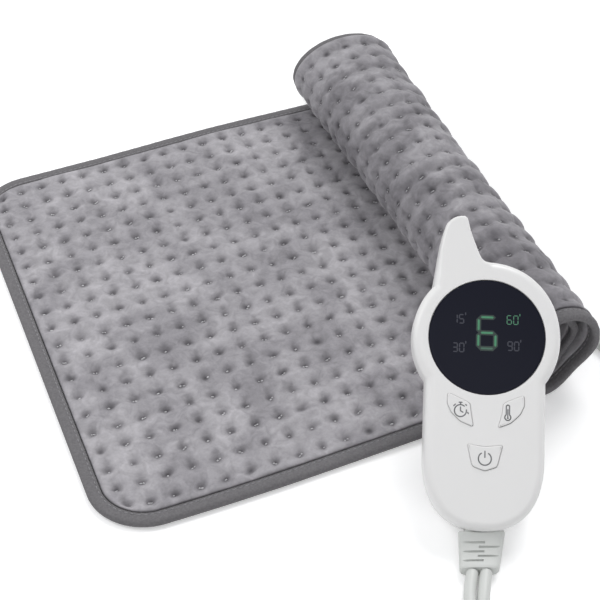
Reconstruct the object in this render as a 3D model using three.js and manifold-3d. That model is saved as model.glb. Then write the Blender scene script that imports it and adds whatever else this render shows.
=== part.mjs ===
// A soft electric heating pad, laid out at its left end and rolled up at its right end, with its
// hand controller leaning on the roll. Lengths are in millimetres and +Z is up. The origin is on the
// floor, in the middle of the pad's flat stretch.
import * as THREE from "three";
import Module from "manifold-3d";
import { mergeVertices } from "three/addons/utils/BufferGeometryUtils.js";

const wasm = await Module();
wasm.setup();

// Clearances that every piece shares
const gap = 0.3;
const overrun = 2;

// The pad and its layers, from the underside up
const padLength = 600;
const padWidth = 300;
const flatLength = 255.2;
const flatGrowth = 7.9;
const bottomCoverThickness = 1.4;
const feltThickness = 0.7;
const wireThickness = 0.6;
const wireWidth = 0.8;
const topCoverThickness = 1.6;
const padThickness = bottomCoverThickness + feltThickness + wireThickness + topCoverThickness + 3 * gap;
const cornerRadius = 25;
const cornerSteps = 5;
const bindingWidth = 10.5;
const bindingWall = 2;
const bindingRound = 0.9;
const bindingInset = 0.25;
const dotPitch = 13.6;
const dotDepth = 0.9;
const coverStrips = 4;

// The roll: its windings, and how its near and far ends are pressed out of round
const coreRadius = 5.5;
const windingSlack = 3.15;
const nearRollShares = { width: 0.902, height: 0.959 };
const farRollShares = { width: 1.268, height: 0.84 };
const nearCoreShares = { width: 1.02, height: 1.69 };
const farCoreShares = { width: 0.73, height: 0.91 };

// The heating wire, laid to and fro across the pad
const wireSpacing = 27.3;
const wireMargin = 24;
const wireLane = 14;
const wireBendSteps = 4;

// The hand controller
const halfWidth = 30.2;
const headRadius = 37.5;
const headPlace = 97;
const finSize = 63.8;
const finRound = 1.9;
const shoulderHeight = 36;
const shoulderPullShare = 0.36;
const footPullShare = 0.63;
const frontDepth = 10.5;
const rearDepth = 13;
const wall = 2;
const partingGap = 0.15;
const handsetTurn = 26.76;
const footFromRoll = 81.6;
const footX = flatLength - footFromRoll;
const footY = -69.3;
const finShares = [
  [-0.009, 0.4],
  [-0.009, 0.616],
  [-0.038, 0.633],
  [-0.089, 0.744],
  [-0.141, 0.881],
  [-0.165, 0.984],
  [-0.187, 1],
  [-0.257, 0.989],
  [-0.312, 0.953],
  [-0.343, 0.911],
  [-0.375, 0.792],
  [-0.404, 0.591],
  [-0.428, 0.426],
  [-0.3, 0.3],
];

// How the edges of the two shells round over, as depth from the joint and inset of the outline
const frontRoundShares = [
  { depth: 0.619, inset: 0.109 },
  { depth: 0.848, inset: 0.304 },
  { depth: 0.962, inset: 0.652 },
  { depth: 1, inset: 1 },
];
const rearRoundShares = [
  { depth: 0.54, inset: 0 },
  { depth: 0.769, inset: 0.134 },
  { depth: 0.938, inset: 0.5 },
  { depth: 1, inset: 1 },
];
const frontRound = 4.6;
const rearRound = 6;
const finRoundShares = [
  { depth: 0.84, inset: 0 },
  { depth: 0.95, inset: 0.3 },
  { depth: 1, inset: 1 },
];

// The display
const windowRadius = 30;
const windowThickness = 2.2;
const ledgeWidth = 2.3;
const ledgeThickness = 1.8;
const bossRadius = 32.5;
const displayRadius = 26;
const displayGap = 0.5;

// The buttons, each a cap on a tact switch
const capProud = 0.8;
const capGap = 0.35;
const capFlange = 1.2;
const capFlangeThickness = 1;
const buttonTravel = 0.5;
const cornerRoundShare = 0.18;
const sideButtonOutline = [
  [18.7, 67.4],
  [8.7, 63.5],
  [6.7, 52.4],
  [8.8, 51.7],
  [17.1, 58.2],
  [18.8, 61.3],
];
const powerButtonOutline = [
  [8.7, 42.7],
  [0, 41.4],
  [-8.7, 42.7],
  [-7.6, 38],
  [-6.1, 31.8],
  [0, 29.7],
  [6.1, 31.8],
  [7.6, 38],
];
const sideStem = { x: 12.4, y: 59.6 };
const powerStem = { x: 0, y: 36 };
const stemRadius = 2.2;
const switchSide = 6;
const switchHeight = 3.5;
const plungerRadius = 1.75;
const plungerProud = 0.9;
const plungerLength = 2.3;

// The circuit board and what it carries
const boardThickness = 1.6;
const boardHalfWidth = 19.5;
const boardLow = 22;
const boardHeadRadius = 28;
const postRadius = 2.5;
const postX = 14;
const postLowY = 27;
const postHighY = 92;
const relaySize = [19, 15.5, 8];
const relayY = 100;
const capacitorSize = [13, 5, 7.5];
const capacitorY = 82;
const fuseRadius = 2.6;
const fuseLength = 15;
const fuseY = 72;
const terminalSize = [22, 8, 7];
const terminalY = 33;
const chipSize = [10, 10, 1.6];
const chipY = 62;
const leadDiameter = 1.8;
const leadSpacing = 4.4;
const leadRise = 1.5;
const leadDrop = 4.6;

// The case screws
const screwX = 24.4;
const screwPlaces = [30, 70];
const bossOuter = 4.1;
const screwRadius = 1.3;
const screwHeadRadius = 2.3;
const screwHeadHeight = 2;
const screwLength = 11;
const screwSeat = 4;

// The strain relief that both cords leave through
const bootWidth = 23.4;
const bootThickness = 10.5;
const bootTipWidth = 17.6;
const bootTipThickness = 8;
const bootLength = 20;
const bootRise = 2;
const bootLean = 1.3;
const bootSteps = 6;
const bootSquareness = 0.6;
const neckWidth = 17;
const neckThickness = 8;
const neckFlange = 2;
const neckReach = 5.6;
const bootSlotShares = [0.28, 0.41, 0.54, 0.67, 0.8];
const bootSlotLength = 1.3;
const bootSlotDepth = 1.8;

// The cords, and the points that the pad's cord passes on its way round the roll, from the
// place where the roll starts
const cordDiameter = 6.2;
const cordSides = 8;
const cordSpread = 6.7;
const cordStraight = 14;
const cordStep = 9;
const padCordPoints = [
  [-102.6, -110.5, 3.4],
  [-102.8, -122, 3.4],
  [-97.8, -133.5, 3.4],
  [-88.2, -141.4, 3.4],
  [-74.2, -144.6, 3.4],
  [-55.2, -141.6, 3.4],
  [-34.2, -130, 3.4],
  [-12.2, -110, 3.4],
  [8.8, -84, 3.4],
  [27.7, -51.9, 3.4],
  [36.7, -30, 3.4],
  [45.9, -10.3, 3.4],
  [49.4, 7.2, 3.4],
  [47.5, 19.5, 3.4],
  [43, 32.3, 3.4],
  [37.5, 46, 3.4],
  [36.9, 66, 3.4],
  [37, 92, 3.4],
  [37, 140, 3.4],
  [37, 188, 3.4],
  [39.2, 228, 3.4],
  [44.6, 262.2, 3.4],
  [54.2, 295.9, 3.4],
  [60.6, 316.3, 3.4],
  [60.5, 336.8, 3.4],
  [51.7, 352, 3.5],
  [37.7, 359.7, 3.7],
  [22.6, 359.4, 3.9],
  [11.1, 353.1, 4.2],
  [4.7, 344.8, 4.5],
  [2.1, 336, 4.7],
];

// The mains cord's coil: two layers of loops, one on the other, held by a strap
const coilFromFoot = 93.5;
const coilX = footX - coilFromFoot;
const coilY = -137;
const coilInnerRadius = 25;
const coilLoops = 7.25;
const coilPitch = 6.75;
const coilEntryAngle = -23.5;
const coilClimbLoops = 0.5;
const coilSteps = 24;
const coilSides = 6;
const tieWidth = 9;
const tieThickness = 0.8;
const tieSlack = 0.9;
const tieLoops = 3.5;
const coilLift = tieThickness + 2 * gap;

// The points that the cord passes from the coil to the plug, from the coil's centre
const tailPoints = [
  [-34.1, -39.2, 11.1],
  [-48, -33.2, 10.5],
  [-55.4, -28.7, 10],
  [-61.3, -22, 9.4],
  [-64.9, -14, 8.9],
  [-66.1, -5.7, 8.8],
];

// The mains plug
const plugFromCoil = 66.1;
const plugX = coilX - plugFromCoil;
const plugY = -90.4;
const plugWidth = 25;
const plugHeight = 17;
const plugLength = 24;
const plugReliefLength = 20;
const plugReliefWidth = 8.4;
const plugShares = [
  { along: 0, size: 0.9 },
  { along: 0.08, size: 1 },
  { along: 0.7, size: 1 },
  { along: 1, size: 0.62 },
];
const plugSquareness = 0.4;
const bladeLength = 17;
const bladeWidth = 6.3;
const bladeThickness = 1.5;
const bladeSpacing = 12.7;
const bladeDepth = 5;

// The connector at the pad's far edge
const socketPastFlat = 1.7;
const socketX = flatLength + socketPastFlat;
const socketWidth = 20;
const socketHeight = 9;
const socketDepth = 9;
const socketWall = 1.6;
const socketFlangeWidth = 15;
const socketFlangeDepth = 8.3;
const socketFlangeThickness = 1.6;
const padPlugLength = 11.5;
const padPlugReliefLength = 9;
const padPlugReliefWidth = 7.8;
const noseDepth = 6;
const pinRadius = 0.9;
const pinSpacing = 7;
const pinLength = 4.5;
const pinRoot = 1.5;

function finish(color, roughness, metalness = 0) {
  return new THREE.MeshStandardMaterial({ color, roughness, metalness });
}

const topCloth = finish(0x9e9ca1, 0.95);
const bottomCloth = finish(0x9a989e, 0.95);
const tape = finish(0x6f6e73, 0.9);
const felt = finish(0xd8d6d0, 1);
const wireSheath = finish(0xb8443a, 0.6);
const whiteGloss = finish(0xe6e6e4, 0.3);
const darkWindow = finish(0x0b0d1a, 0.12);
const softGrey = finish(0xcdd0cb, 0.55);
const cordGrey = finish(0xc8ccc6, 0.5);
const boardGreen = finish(0x1f5c38, 0.6);
const black = finish(0x1c1c1e, 0.5);
const blueFilm = finish(0x2c5f9e, 0.4);
const glassFuse = finish(0xd9dfe0, 0.1);
const steel = finish(0xb9bcc0, 0.35, 1);
const brass = finish(0xc2a24d, 0.35, 1);
const copper = finish(0xa8442c, 0.5);

const model = new THREE.Group();
model.position.set(-flatLength / 2, -padWidth / 2, 0);
const handset = new THREE.Group();
model.add(handset);

function piece(name, geometry, material, parent = model) {
  const mesh = new THREE.Mesh(geometry, material);
  mesh.name = name;
  parent.add(mesh);
  return mesh;
}

// Joining and cutting of closed shapes
function toSolid(geometry) {
  const bare = geometry.clone();
  bare.deleteAttribute("normal");
  bare.deleteAttribute("uv");
  const merged = mergeVertices(bare, 1e-4);
  return new wasm.Manifold(
    new wasm.Mesh({
      numProp: 3,
      vertProperties: new Float32Array(merged.attributes.position.array),
      triVerts: new Uint32Array(merged.index.array),
    }),
  );
}

function toGeometry(solid) {
  const mesh = solid.getMesh();
  const geometry = new THREE.BufferGeometry();
  geometry.setAttribute("position", new THREE.BufferAttribute(mesh.vertProperties, 3));
  geometry.setIndex(new THREE.BufferAttribute(mesh.triVerts, 1));
  geometry.computeVertexNormals();
  return geometry;
}

function cut(geometry, tools) {
  return toGeometry(tools.reduce((solid, tool) => solid.subtract(toSolid(tool)), toSolid(geometry)));
}

function join(geometry, others) {
  return toGeometry(others.reduce((solid, other) => solid.add(toSolid(other)), toSolid(geometry)));
}

// A closed shape from its corner points and triangles, turned to face outwards
function closedGeometry(points, triangles) {
  const volume = triangles.reduce((sum, [a, b, c]) => {
    const cross = new THREE.Vector3().crossVectors(points[b], points[c]);
    return sum + points[a].dot(cross);
  }, 0);
  const facing = volume < 0 ? triangles.map(([a, b, c]) => [a, c, b]) : triangles;
  const geometry = new THREE.BufferGeometry().setFromPoints(points);
  geometry.setIndex(facing.flat());
  geometry.computeVertexNormals();
  return geometry;
}

// A closed tube through rings of points, with flat ends
function skin(rings, capTriangles) {
  const count = rings[0].length;
  const triangles = [];
  for (let ring = 0; ring + 1 < rings.length; ring += 1) {
    for (let side = 0; side < count; side += 1) {
      const here = ring * count + side;
      const beside = ring * count + ((side + 1) % count);
      triangles.push([here, beside, beside + count]);
      triangles.push([here, beside + count, here + count]);
    }
  }
  const last = (rings.length - 1) * count;
  capTriangles.forEach(([a, b, c]) => {
    triangles.push([a, c, b]);
    triangles.push([last + a, last + b, last + c]);
  });
  return closedGeometry(rings.flat(), triangles);
}

// The two caps' triangles for a ring of that many points
function fan(count) {
  return Array.from({ length: count - 2 }, (_, index) => [0, index + 1, index + 2]);
}

// Points round an oval, counter-clockwise: squareness 1 is an ellipse, and less is boxier
function ovalRing(width, height, squareness, count = 16) {
  const reach = (size, share) => (size / 2) * Math.sign(share) * Math.abs(share) ** squareness;
  return Array.from({ length: count }, (_, index) => {
    const angle = (2 * Math.PI * (index + 1 / 2)) / count;
    return [reach(width, Math.cos(angle)), reach(height, Math.sin(angle))];
  });
}

function box(size, centre) {
  const geometry = new THREE.BoxGeometry(...size);
  geometry.translate(...centre);
  return geometry;
}

// A round bar along the height, from one level to another
function bar(radius, x, y, low, high, sides = 20) {
  const geometry = new THREE.CylinderGeometry(radius, radius, high - low, sides);
  geometry.rotateX(Math.PI / 2);
  geometry.translate(x, y, (low + high) / 2);
  return geometry;
}

function prism(outline, low, high) {
  const shape = new THREE.Shape(outline);
  const geometry = new THREE.ExtrudeGeometry(shape, { depth: high - low, bevelEnabled: false });
  geometry.translate(0, 0, low);
  return geometry;
}

// The outline moved inwards by a distance, corner by corner
function inset(outline, distance) {
  return outline.map((point, index) => {
    const before = outline[(index + outline.length - 1) % outline.length];
    const after = outline[(index + 1) % outline.length];
    const arriving = point.clone().sub(before).normalize();
    const leaving = after.clone().sub(point).normalize();
    const inwards = new THREE.Vector2(-arriving.y - leaving.y, arriving.x + leaving.x);
    return point.clone().addScaledVector(inwards, distance / (1 + arriving.dot(leaving)));
  });
}

// A solid through copies of one outline, each at its level and with its own inset
function stack(outline, levels) {
  const rings = levels.map((level) =>
    inset(outline, level.inset).map((point) => new THREE.Vector3(point.x, point.y, level.height)),
  );
  return skin(rings, THREE.ShapeUtils.triangulateShape(outline, []));
}

// The roll's turns follow one spiral: equal angles between rows, and a radius that shrinks steadily
const rollLength = padLength - flatLength - flatGrowth / 2;
const windingPitch = padThickness + windingSlack;
const rollRadius = Math.sqrt(coreRadius ** 2 + (windingPitch * rollLength) / Math.PI);
const endAngle = (2 * Math.PI * (rollRadius - coreRadius)) / windingPitch;
const dotsRound = Math.round((2 * Math.PI * (rollRadius + padThickness / 2)) / dotPitch);
const rowAngle = (2 * Math.PI) / dotsRound;
const rollStretch = rollLength / (padLength - flatLength);

function angleAt(along) {
  const wound = (along - flatLength) * rollStretch;
  const shrink = windingPitch / (2 * Math.PI);
  return (rollRadius - Math.sqrt(Math.max(rollRadius ** 2 - 2 * shrink * wound, 0))) / shrink;
}

function alongAt(angle) {
  const shrink = windingPitch / (2 * Math.PI);
  return flatLength + (rollRadius * angle - (shrink * angle ** 2) / 2) / rollStretch;
}

// A point of the roll at an angle, a place across the pad and an offset from its middle surface
function rollPoint(angle, across, offset) {
  const far = across / padWidth;
  const wound = angle / endAngle;
  const lerp = THREE.MathUtils.lerp;
  const outerWidth = rollRadius * lerp(nearRollShares.width, farRollShares.width, far);
  const outerHeight = rollRadius * lerp(nearRollShares.height, farRollShares.height, far);
  const coreWidth = coreRadius * lerp(nearCoreShares.width, farCoreShares.width, far);
  const coreHeight = coreRadius * lerp(nearCoreShares.height, farCoreShares.height, far);
  const width = lerp(outerWidth, coreWidth, wound) - offset;
  const height = lerp(outerHeight, coreHeight, wound) - offset;
  return new THREE.Vector3(
    flatLength + flatGrowth * far + width * Math.sin(angle),
    across,
    outerHeight + padThickness / 2 - height * Math.cos(angle),
  );
}

// A point of the pad's cloth, at a length along it, a place across it and an offset from its middle
function padPoint(along, across, offset) {
  if (along <= flatLength) {
    const stretch = 1 + (flatGrowth * across) / padWidth / flatLength;
    return new THREE.Vector3(along * stretch, across, padThickness / 2 + offset);
  }
  const rows = angleAt(along) / rowAngle;
  const row = Math.floor(rows);
  const start = rollPoint(row * rowAngle, across, offset);
  return start.lerp(rollPoint((row + 1) * rowAngle, across, offset), rows - row);
}

// The places along the pad where its cloth bends in the roll, up to a given place
function rollRows(last) {
  const places = [];
  for (let angle = 0; alongAt(angle) < last - gap; angle += rowAngle) {
    places.push(alongAt(angle));
    if (angle + rowAngle > endAngle) {
      break;
    }
  }
  return [...places, last];
}

// Triangles between two lines of vertices that run the same way
function strip(first, second, triangles) {
  let a = 0;
  let b = 0;
  while (a + 1 < first.length || b + 1 < second.length) {
    const firstNext = a + 1 < first.length ? first[a + 1].across : Infinity;
    const secondNext = b + 1 < second.length ? second[b + 1].across : Infinity;
    if (firstNext <= secondNext) {
      triangles.push([first[a].index, second[b].index, first[a + 1].index]);
      a += 1;
    } else {
      triangles.push([first[a].index, second[b].index, second[b + 1].index]);
      b += 1;
    }
  }
}

// A closed sheet between two offsets. Each row gives its lower and upper vertices as places along
// and across, and may ask for a dimple in each cell up to the next row, on one face.
function sheet(rows, lowerOffset, upperOffset) {
  const points = [];
  const triangles = [];
  const vertex = ([along, across], offset) => {
    points.push(padPoint(along, across, offset));
    return { index: points.length - 1, along, across };
  };
  const lines = rows.map((row) => ({
    lower: row.lower.map((place) => vertex(place, lowerOffset)),
    upper: row.upper.map((place) => vertex(place, upperOffset)),
  }));
  const flipped = (make) => {
    const made = [];
    make(made);
    made.forEach(([a, b, c]) => triangles.push([a, c, b]));
  };
  const dimpled = (first, second, offset, made) => {
    for (let cell = 0; cell + 1 < first.length; cell += 1) {
      const corners = [first[cell], second[cell], second[cell + 1], first[cell + 1]];
      const along = (first[cell + 1].along + second[cell].along) / 2;
      const across = (first[cell + 1].across + first[cell].across) / 2;
      const dot = vertex([along, across], offset);
      corners.forEach((corner, index) => {
        made.push([corner.index, corners[(index + 1) % corners.length].index, dot.index]);
      });
    }
  };
  for (let row = 0; row + 1 < rows.length; row += 1) {
    const here = lines[row];
    const next = lines[row + 1];
    if (rows[row].dimples === "upper") {
      dimpled(here.upper, next.upper, upperOffset - dotDepth, triangles);
    } else {
      strip(here.upper, next.upper, triangles);
    }
    if (rows[row].dimples === "lower") {
      flipped((made) => dimpled(here.lower, next.lower, lowerOffset + dotDepth, made));
    } else {
      flipped((made) => strip(here.lower, next.lower, made));
    }
    const near = [here.lower[0], next.lower[0], next.upper[0], here.upper[0]];
    const far = [here.lower.at(-1), here.upper.at(-1), next.upper.at(-1), next.lower.at(-1)];
    [near, far].forEach(([a, b, c, d]) => {
      triangles.push([a.index, b.index, c.index]);
      triangles.push([a.index, c.index, d.index]);
    });
  }
  strip(lines[0].lower, lines[0].upper, triangles);
  flipped((made) => strip(lines.at(-1).lower, lines.at(-1).upper, made));
  return closedGeometry(points, triangles);
}

// Places across the pad, evenly spaced between its two edges
function acrossPlaces(near, far, count) {
  return Array.from({ length: count + 1 }, (_, index) => near + ((far - near) * index) / count);
}

// The first row of a cover, whose two ends follow the pad's round corners
function roundedRow(along, places, radius) {
  const shift = radius * (1 - Math.SQRT1_2);
  return places.map((across, index) => {
    if (index === 0) {
      return [along + shift, across + shift];
    }
    return index === places.length - 1 ? [along + shift, across - shift] : [along, across];
  });
}

const socketAlong = (socketX * flatLength) / (flatLength + flatGrowth);
const coverEdge = bindingWidth + gap;
const clothEnd = padLength - bindingWidth - gap;
const middle = padThickness / 2;
const dotsAcross = Math.round((padWidth - 2 * coverEdge) / dotPitch);
const finePlaces = acrossPlaces(coverEdge, padWidth - coverEdge, dotsAcross);
const coarsePlaces = acrossPlaces(coverEdge, padWidth - coverEdge, coverStrips);
const coverCorner = cornerRadius - coverEdge;

// The face that shows on the flat stretch: dimpled there, and plain where it winds inside the roll
function topCover() {
  const dimpledRows = Math.round((flatLength - coverEdge) / dotPitch);
  const rows = [];
  for (let row = 0; row < dimpledRows; row += 1) {
    const along = coverEdge + (row * (flatLength - coverEdge)) / dimpledRows;
    const upper = row === 0 ? roundedRow(along, finePlaces, coverCorner) : finePlaces.map((y) => [along, y]);
    const ends = [upper[0], upper[1], upper.at(-2), upper.at(-1)];
    const lower = row === 0 ? ends : coarsePlaces.map((y) => [along, y]);
    rows.push({ lower, upper, dimples: "upper" });
  }
  rollRows(clothEnd).forEach((along, row) => {
    const coarse = coarsePlaces.map((y) => [along, y]);
    const upper = row === 0 ? finePlaces.map((y) => [along, y]) : coarse;
    rows.push({ lower: coarse, upper, dimples: "none" });
  });
  return sheet(rows, middle - topCoverThickness, middle);
}

// The face that lies on the floor and shows on the outside of the roll
function bottomCover() {
  const start = roundedRow(coverEdge, finePlaces, coverCorner);
  const ends = [start[0], start[1], start.at(-2), start.at(-1)];
  const straight = [coarsePlaces[0], coarsePlaces.at(-1)].map((y) => [coverEdge + coverCorner, y]);
  const rows = [
    { lower: ends, upper: ends },
    { lower: straight, upper: straight },
  ];
  rollRows(clothEnd).forEach((along, row) => {
    const coarse = coarsePlaces.map((y) => [along, y]);
    const fine = finePlaces.map((y) => [along, y]);
    const dimpled = row < dotsRound;
    const lower = row <= dotsRound ? fine : coarse;
    rows.push({ lower, upper: coarse, dimples: dimpled ? "lower" : "none" });
  });
  return sheet(rows, -middle, -middle + bottomCoverThickness);
}

// The felt that the heating wire is stitched to, which reaches into the binding
function carrierFelt() {
  const edge = bindingWall + gap;
  const radius = cornerRadius - edge;
  const places = acrossPlaces(edge, padWidth - edge, coverStrips);
  const start = roundedRow(edge, [places[0], edge + radius, padWidth - edge - radius, places.at(-1)], radius);
  const straight = [places[0], places.at(-1)].map((y) => [edge + radius, y]);
  const rows = [
    { lower: start, upper: start },
    { lower: straight, upper: straight },
  ];
  rollRows(clothEnd).forEach((along) => {
    const line = places.map((y) => [along, y]);
    rows.push({ lower: line, upper: line });
  });
  const low = -middle + bottomCoverThickness + gap;
  const whole = sheet(rows, low, low + feltThickness);
  return cut(whole, [socketNotch(socketFlangeDepth + gap)]);
}

// The room that the connector's flange takes out of the layers at the far edge
function socketNotch(depth) {
  const width = socketFlangeWidth + 2 * gap;
  const height = socketFlangeThickness + 2 * gap;
  const across = padWidth + (overrun - depth) / 2;
  return box([width, depth + overrun, height], [socketX, across, middle]);
}

// The tape sewn round the three open edges, folded over them like a channel
function edgeBinding() {
  const outer = middle - bindingInset;
  const inner = middle - bottomCoverThickness;
  const profile = [
    [bindingWidth, -outer],
    [bindingWidth, -inner],
    [bindingWall, -inner],
    [bindingWall, inner],
    [bindingWidth, inner],
    [bindingWidth, outer],
    [bindingRound, outer],
    [0, 0],
    [bindingRound, -outer],
  ];
  const quarter = Math.PI / 2;
  const stations = [];
  const sidePlaces = rollRows(clothEnd);
  sidePlaces.toReversed().forEach((along) => {
    stations.push({ along, across: 0, turn: quarter });
  });
  const corner = (turnStart, centreAcross) => {
    for (let step = 0; step <= cornerSteps; step += 1) {
      const turn = turnStart - (quarter * step) / cornerSteps;
      const along = cornerRadius - cornerRadius * Math.cos(turn);
      const across = centreAcross - cornerRadius * Math.sin(turn);
      stations.push({ along, across, turn });
    }
  };
  corner(quarter, cornerRadius);
  corner(0, padWidth - cornerRadius);
  sidePlaces.forEach((along) => {
    stations.push({ along, across: padWidth, turn: -quarter });
  });
  const rings = stations.map(({ along, across, turn }) => {
    return profile.map(([inwards, offset]) =>
      padPoint(along + inwards * Math.cos(turn), across + inwards * Math.sin(turn), offset),
    );
  });
  const outline = profile.map(([x, y]) => new THREE.Vector2(x, y));
  const whole = skin(rings, THREE.ShapeUtils.triangulateShape(outline, []));
  return cut(whole, [socketNotch(bindingWall + gap)]);
}

// The folded hem at the pad's inner end, in the middle of the roll
function endHem() {
  const inside = rollRows(padLength).filter((along) => along > clothEnd + 2 * gap);
  const rows = [clothEnd + gap, ...inside].map((along) => {
    const line = acrossPlaces(0, padWidth, coverStrips).map((y) => [along, y]);
    return { lower: line, upper: line };
  });
  return sheet(rows, -middle + bindingInset, middle - bindingInset);
}

// A point is added wherever a line along the pad crosses a fold of the roll
function splitAtRows(route) {
  const places = rollRows(padLength);
  const split = [route[0]];
  for (let index = 1; index < route.length; index += 1) {
    const from = route[index - 1];
    const to = route[index];
    const crossed = places.filter(
      (along) => along > Math.min(from[0], to[0]) + gap && along < Math.max(from[0], to[0]) - gap,
    );
    if (to[0] < from[0]) {
      crossed.reverse();
    }
    crossed.forEach((along) => {
      const share = (along - from[0]) / (to[0] - from[0]);
      split.push([along, from[1] + (to[1] - from[1]) * share]);
    });
    split.push(to);
  }
  return split;
}

// One heating cable from the connector along the far edge, then to and fro across the whole pad
function heatingWire() {
  const far = padWidth - wireMargin;
  const near = wireMargin;
  const lane = far - wireLane;
  const runs = Math.floor((padLength - 2 * wireMargin) / wireSpacing) + 1;
  const socketEdge = padWidth - socketFlangeDepth - gap;
  const route = [
    [socketAlong, socketEdge],
    [socketAlong, far],
    [wireMargin, far],
  ];
  const bend = wireSpacing / 2;
  for (let run = 0; run < runs; run += 1) {
    const along = wireMargin + run * wireSpacing;
    const down = run % 2 === 0;
    const endAcross = down ? near + bend : lane - bend;
    if (run > 0) {
      route.push([along, down ? lane - bend : near + bend]);
    }
    route.push([along, endAcross]);
    if (run + 1 === runs) {
      break;
    }
    for (let step = 1; step < wireBendSteps; step += 1) {
      const turn = (Math.PI * step) / wireBendSteps;
      const out = down ? -bend * Math.sin(turn) : bend * Math.sin(turn);
      route.push([along + bend * (1 - Math.cos(turn)), endAcross + out]);
    }
  }
  const path = splitAtRows(route);
  const level = -middle + bottomCoverThickness + feltThickness + 2 * gap + wireThickness / 2;
  const rings = path.map((place, index) => {
    const before = path[Math.max(index - 1, 0)];
    const after = path[Math.min(index + 1, path.length - 1)];
    const arriving = new THREE.Vector2(place[0] - before[0], place[1] - before[1]).normalize();
    const leaving = new THREE.Vector2(after[0] - place[0], after[1] - place[1]).normalize();
    const way = arriving.add(leaving).normalize();
    const side = wireWidth / 2;
    return [
      [side, 0],
      [0, wireThickness / 2],
      [-side, 0],
      [0, -wireThickness / 2],
    ].map(([out, up]) => padPoint(place[0] - way.y * out, place[1] + way.x * out, level + up));
  });
  return skin(rings, [
    [0, 1, 2],
    [0, 2, 3],
  ]);
}

piece("pad_top_cover", topCover(), topCloth);
piece("pad_bottom_cover", bottomCover(), bottomCloth);
piece("carrier_felt", carrierFelt(), felt);
piece("heating_wire", heatingWire(), wireSheath);
piece("edge_binding", edgeBinding(), tape);
piece("end_hem", endHem(), tape);

// The keyhole outline of the controller, counter-clockwise from the middle of its foot
function handsetOutline() {
  const foot = new THREE.CubicBezierCurve(
    new THREE.Vector2(0, 0),
    new THREE.Vector2(halfWidth * footPullShare, 0),
    new THREE.Vector2(halfWidth, shoulderHeight * shoulderPullShare),
    new THREE.Vector2(halfWidth, shoulderHeight),
  ).getPoints(7);
  const neck = Math.acos(halfWidth / headRadius);
  const head = new THREE.Path();
  head.absarc(0, headPlace, headRadius, -neck, Math.PI + neck, false);
  const back = foot.slice(1).map((point) => new THREE.Vector2(-point.x, point.y));
  return [...foot, ...head.getPoints(12), ...back.reverse()];
}

const outline = handsetOutline();
const finOutline = finShares.map(
  ([x, y]) => new THREE.Vector2(finSize * x, headPlace + finSize * y),
);

function roundedCorners(corners) {
  const points = [];
  corners.forEach(([x, y], index) => {
    const corner = new THREE.Vector2(x, y);
    const before = new THREE.Vector2(...corners[(index + corners.length - 1) % corners.length]);
    const after = new THREE.Vector2(...corners[(index + 1) % corners.length]);
    const start = corner.clone().lerp(before, cornerRoundShare);
    const end = corner.clone().lerp(after, cornerRoundShare);
    points.push(start, new THREE.QuadraticBezierCurve(start, corner, end).getPoint(1 / 2), end);
  });
  return points;
}

const buttons = [
  {
    name: "timer",
    outline: roundedCorners(sideButtonOutline.map(([x, y]) => [-x, y])),
    stem: { x: -sideStem.x, y: sideStem.y },
  },
  {
    name: "temperature",
    outline: roundedCorners(sideButtonOutline),
    stem: sideStem,
  },
  { name: "power", outline: roundedCorners(powerButtonOutline), stem: powerStem },
];
buttons.forEach((button) => {
  if (THREE.ShapeUtils.isClockWise(button.outline)) {
    button.outline.reverse();
  }
});

const innerFace = frontDepth - wall;
const windowSeat = frontDepth - windowThickness - gap;
const screws = screwPlaces.flatMap((y) => [
  { x: -screwX, y },
  { x: screwX, y },
]);
const neckHole = box(
  [neckWidth + 2 * gap, 2 * (neckReach + overrun), neckThickness + 2 * gap],
  [0, 0, bootRise],
);

// One half of the case as a solid, its edge and its fin's edge rounded over
function halfCase(depth, joint, shares, round) {
  const levels = (list, size) => [
    { height: joint, inset: 0 },
    ...list.map((share) => ({ height: depth * share.depth, inset: size * share.inset })),
  ];
  const body = stack(outline, levels(shares, round));
  return join(body, [stack(finOutline, levels(finRoundShares, finRound))]);
}

// The front half of the case, hollow, with the window's seat, the buttons' holes and screw bosses
function frontShell() {
  const whole = halfCase(frontDepth, partingGap, frontRoundShares, frontRound);
  const room = stack(outline, [
    { height: -overrun, inset: wall },
    { height: innerFace - frontRound / 2, inset: wall + frontRound / 8 },
    { height: innerFace, inset: wall + frontRound / 2 },
  ]);
  const seatRing = bar(bossRadius, 0, headPlace, windowSeat - ledgeThickness, innerFace + wall / 2, 40);
  const bosses = screws.map(({ x, y }) => bar(bossOuter, x, y, partingGap, innerFace + wall / 2, 12));
  const screwHoles = screws.map(({ x, y }) =>
    bar(screwRadius + gap, x, y, -overrun, partingGap + screwLength - screwSeat, 10),
  );
  const seat = bar(windowRadius + gap, 0, headPlace, windowSeat, frontDepth + overrun, 48);
  const opening = bar(windowRadius - ledgeWidth, 0, headPlace, 0, frontDepth + overrun, 40);
  const holes = buttons.map((button) =>
    prism(inset(button.outline, -capGap), innerFace - overrun, frontDepth + overrun),
  );
  const fitted = join(cut(whole, [room]), [seatRing, ...bosses]);
  return cut(fitted, [seat, opening, neckHole, ...holes, ...screwHoles]);
}

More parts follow.
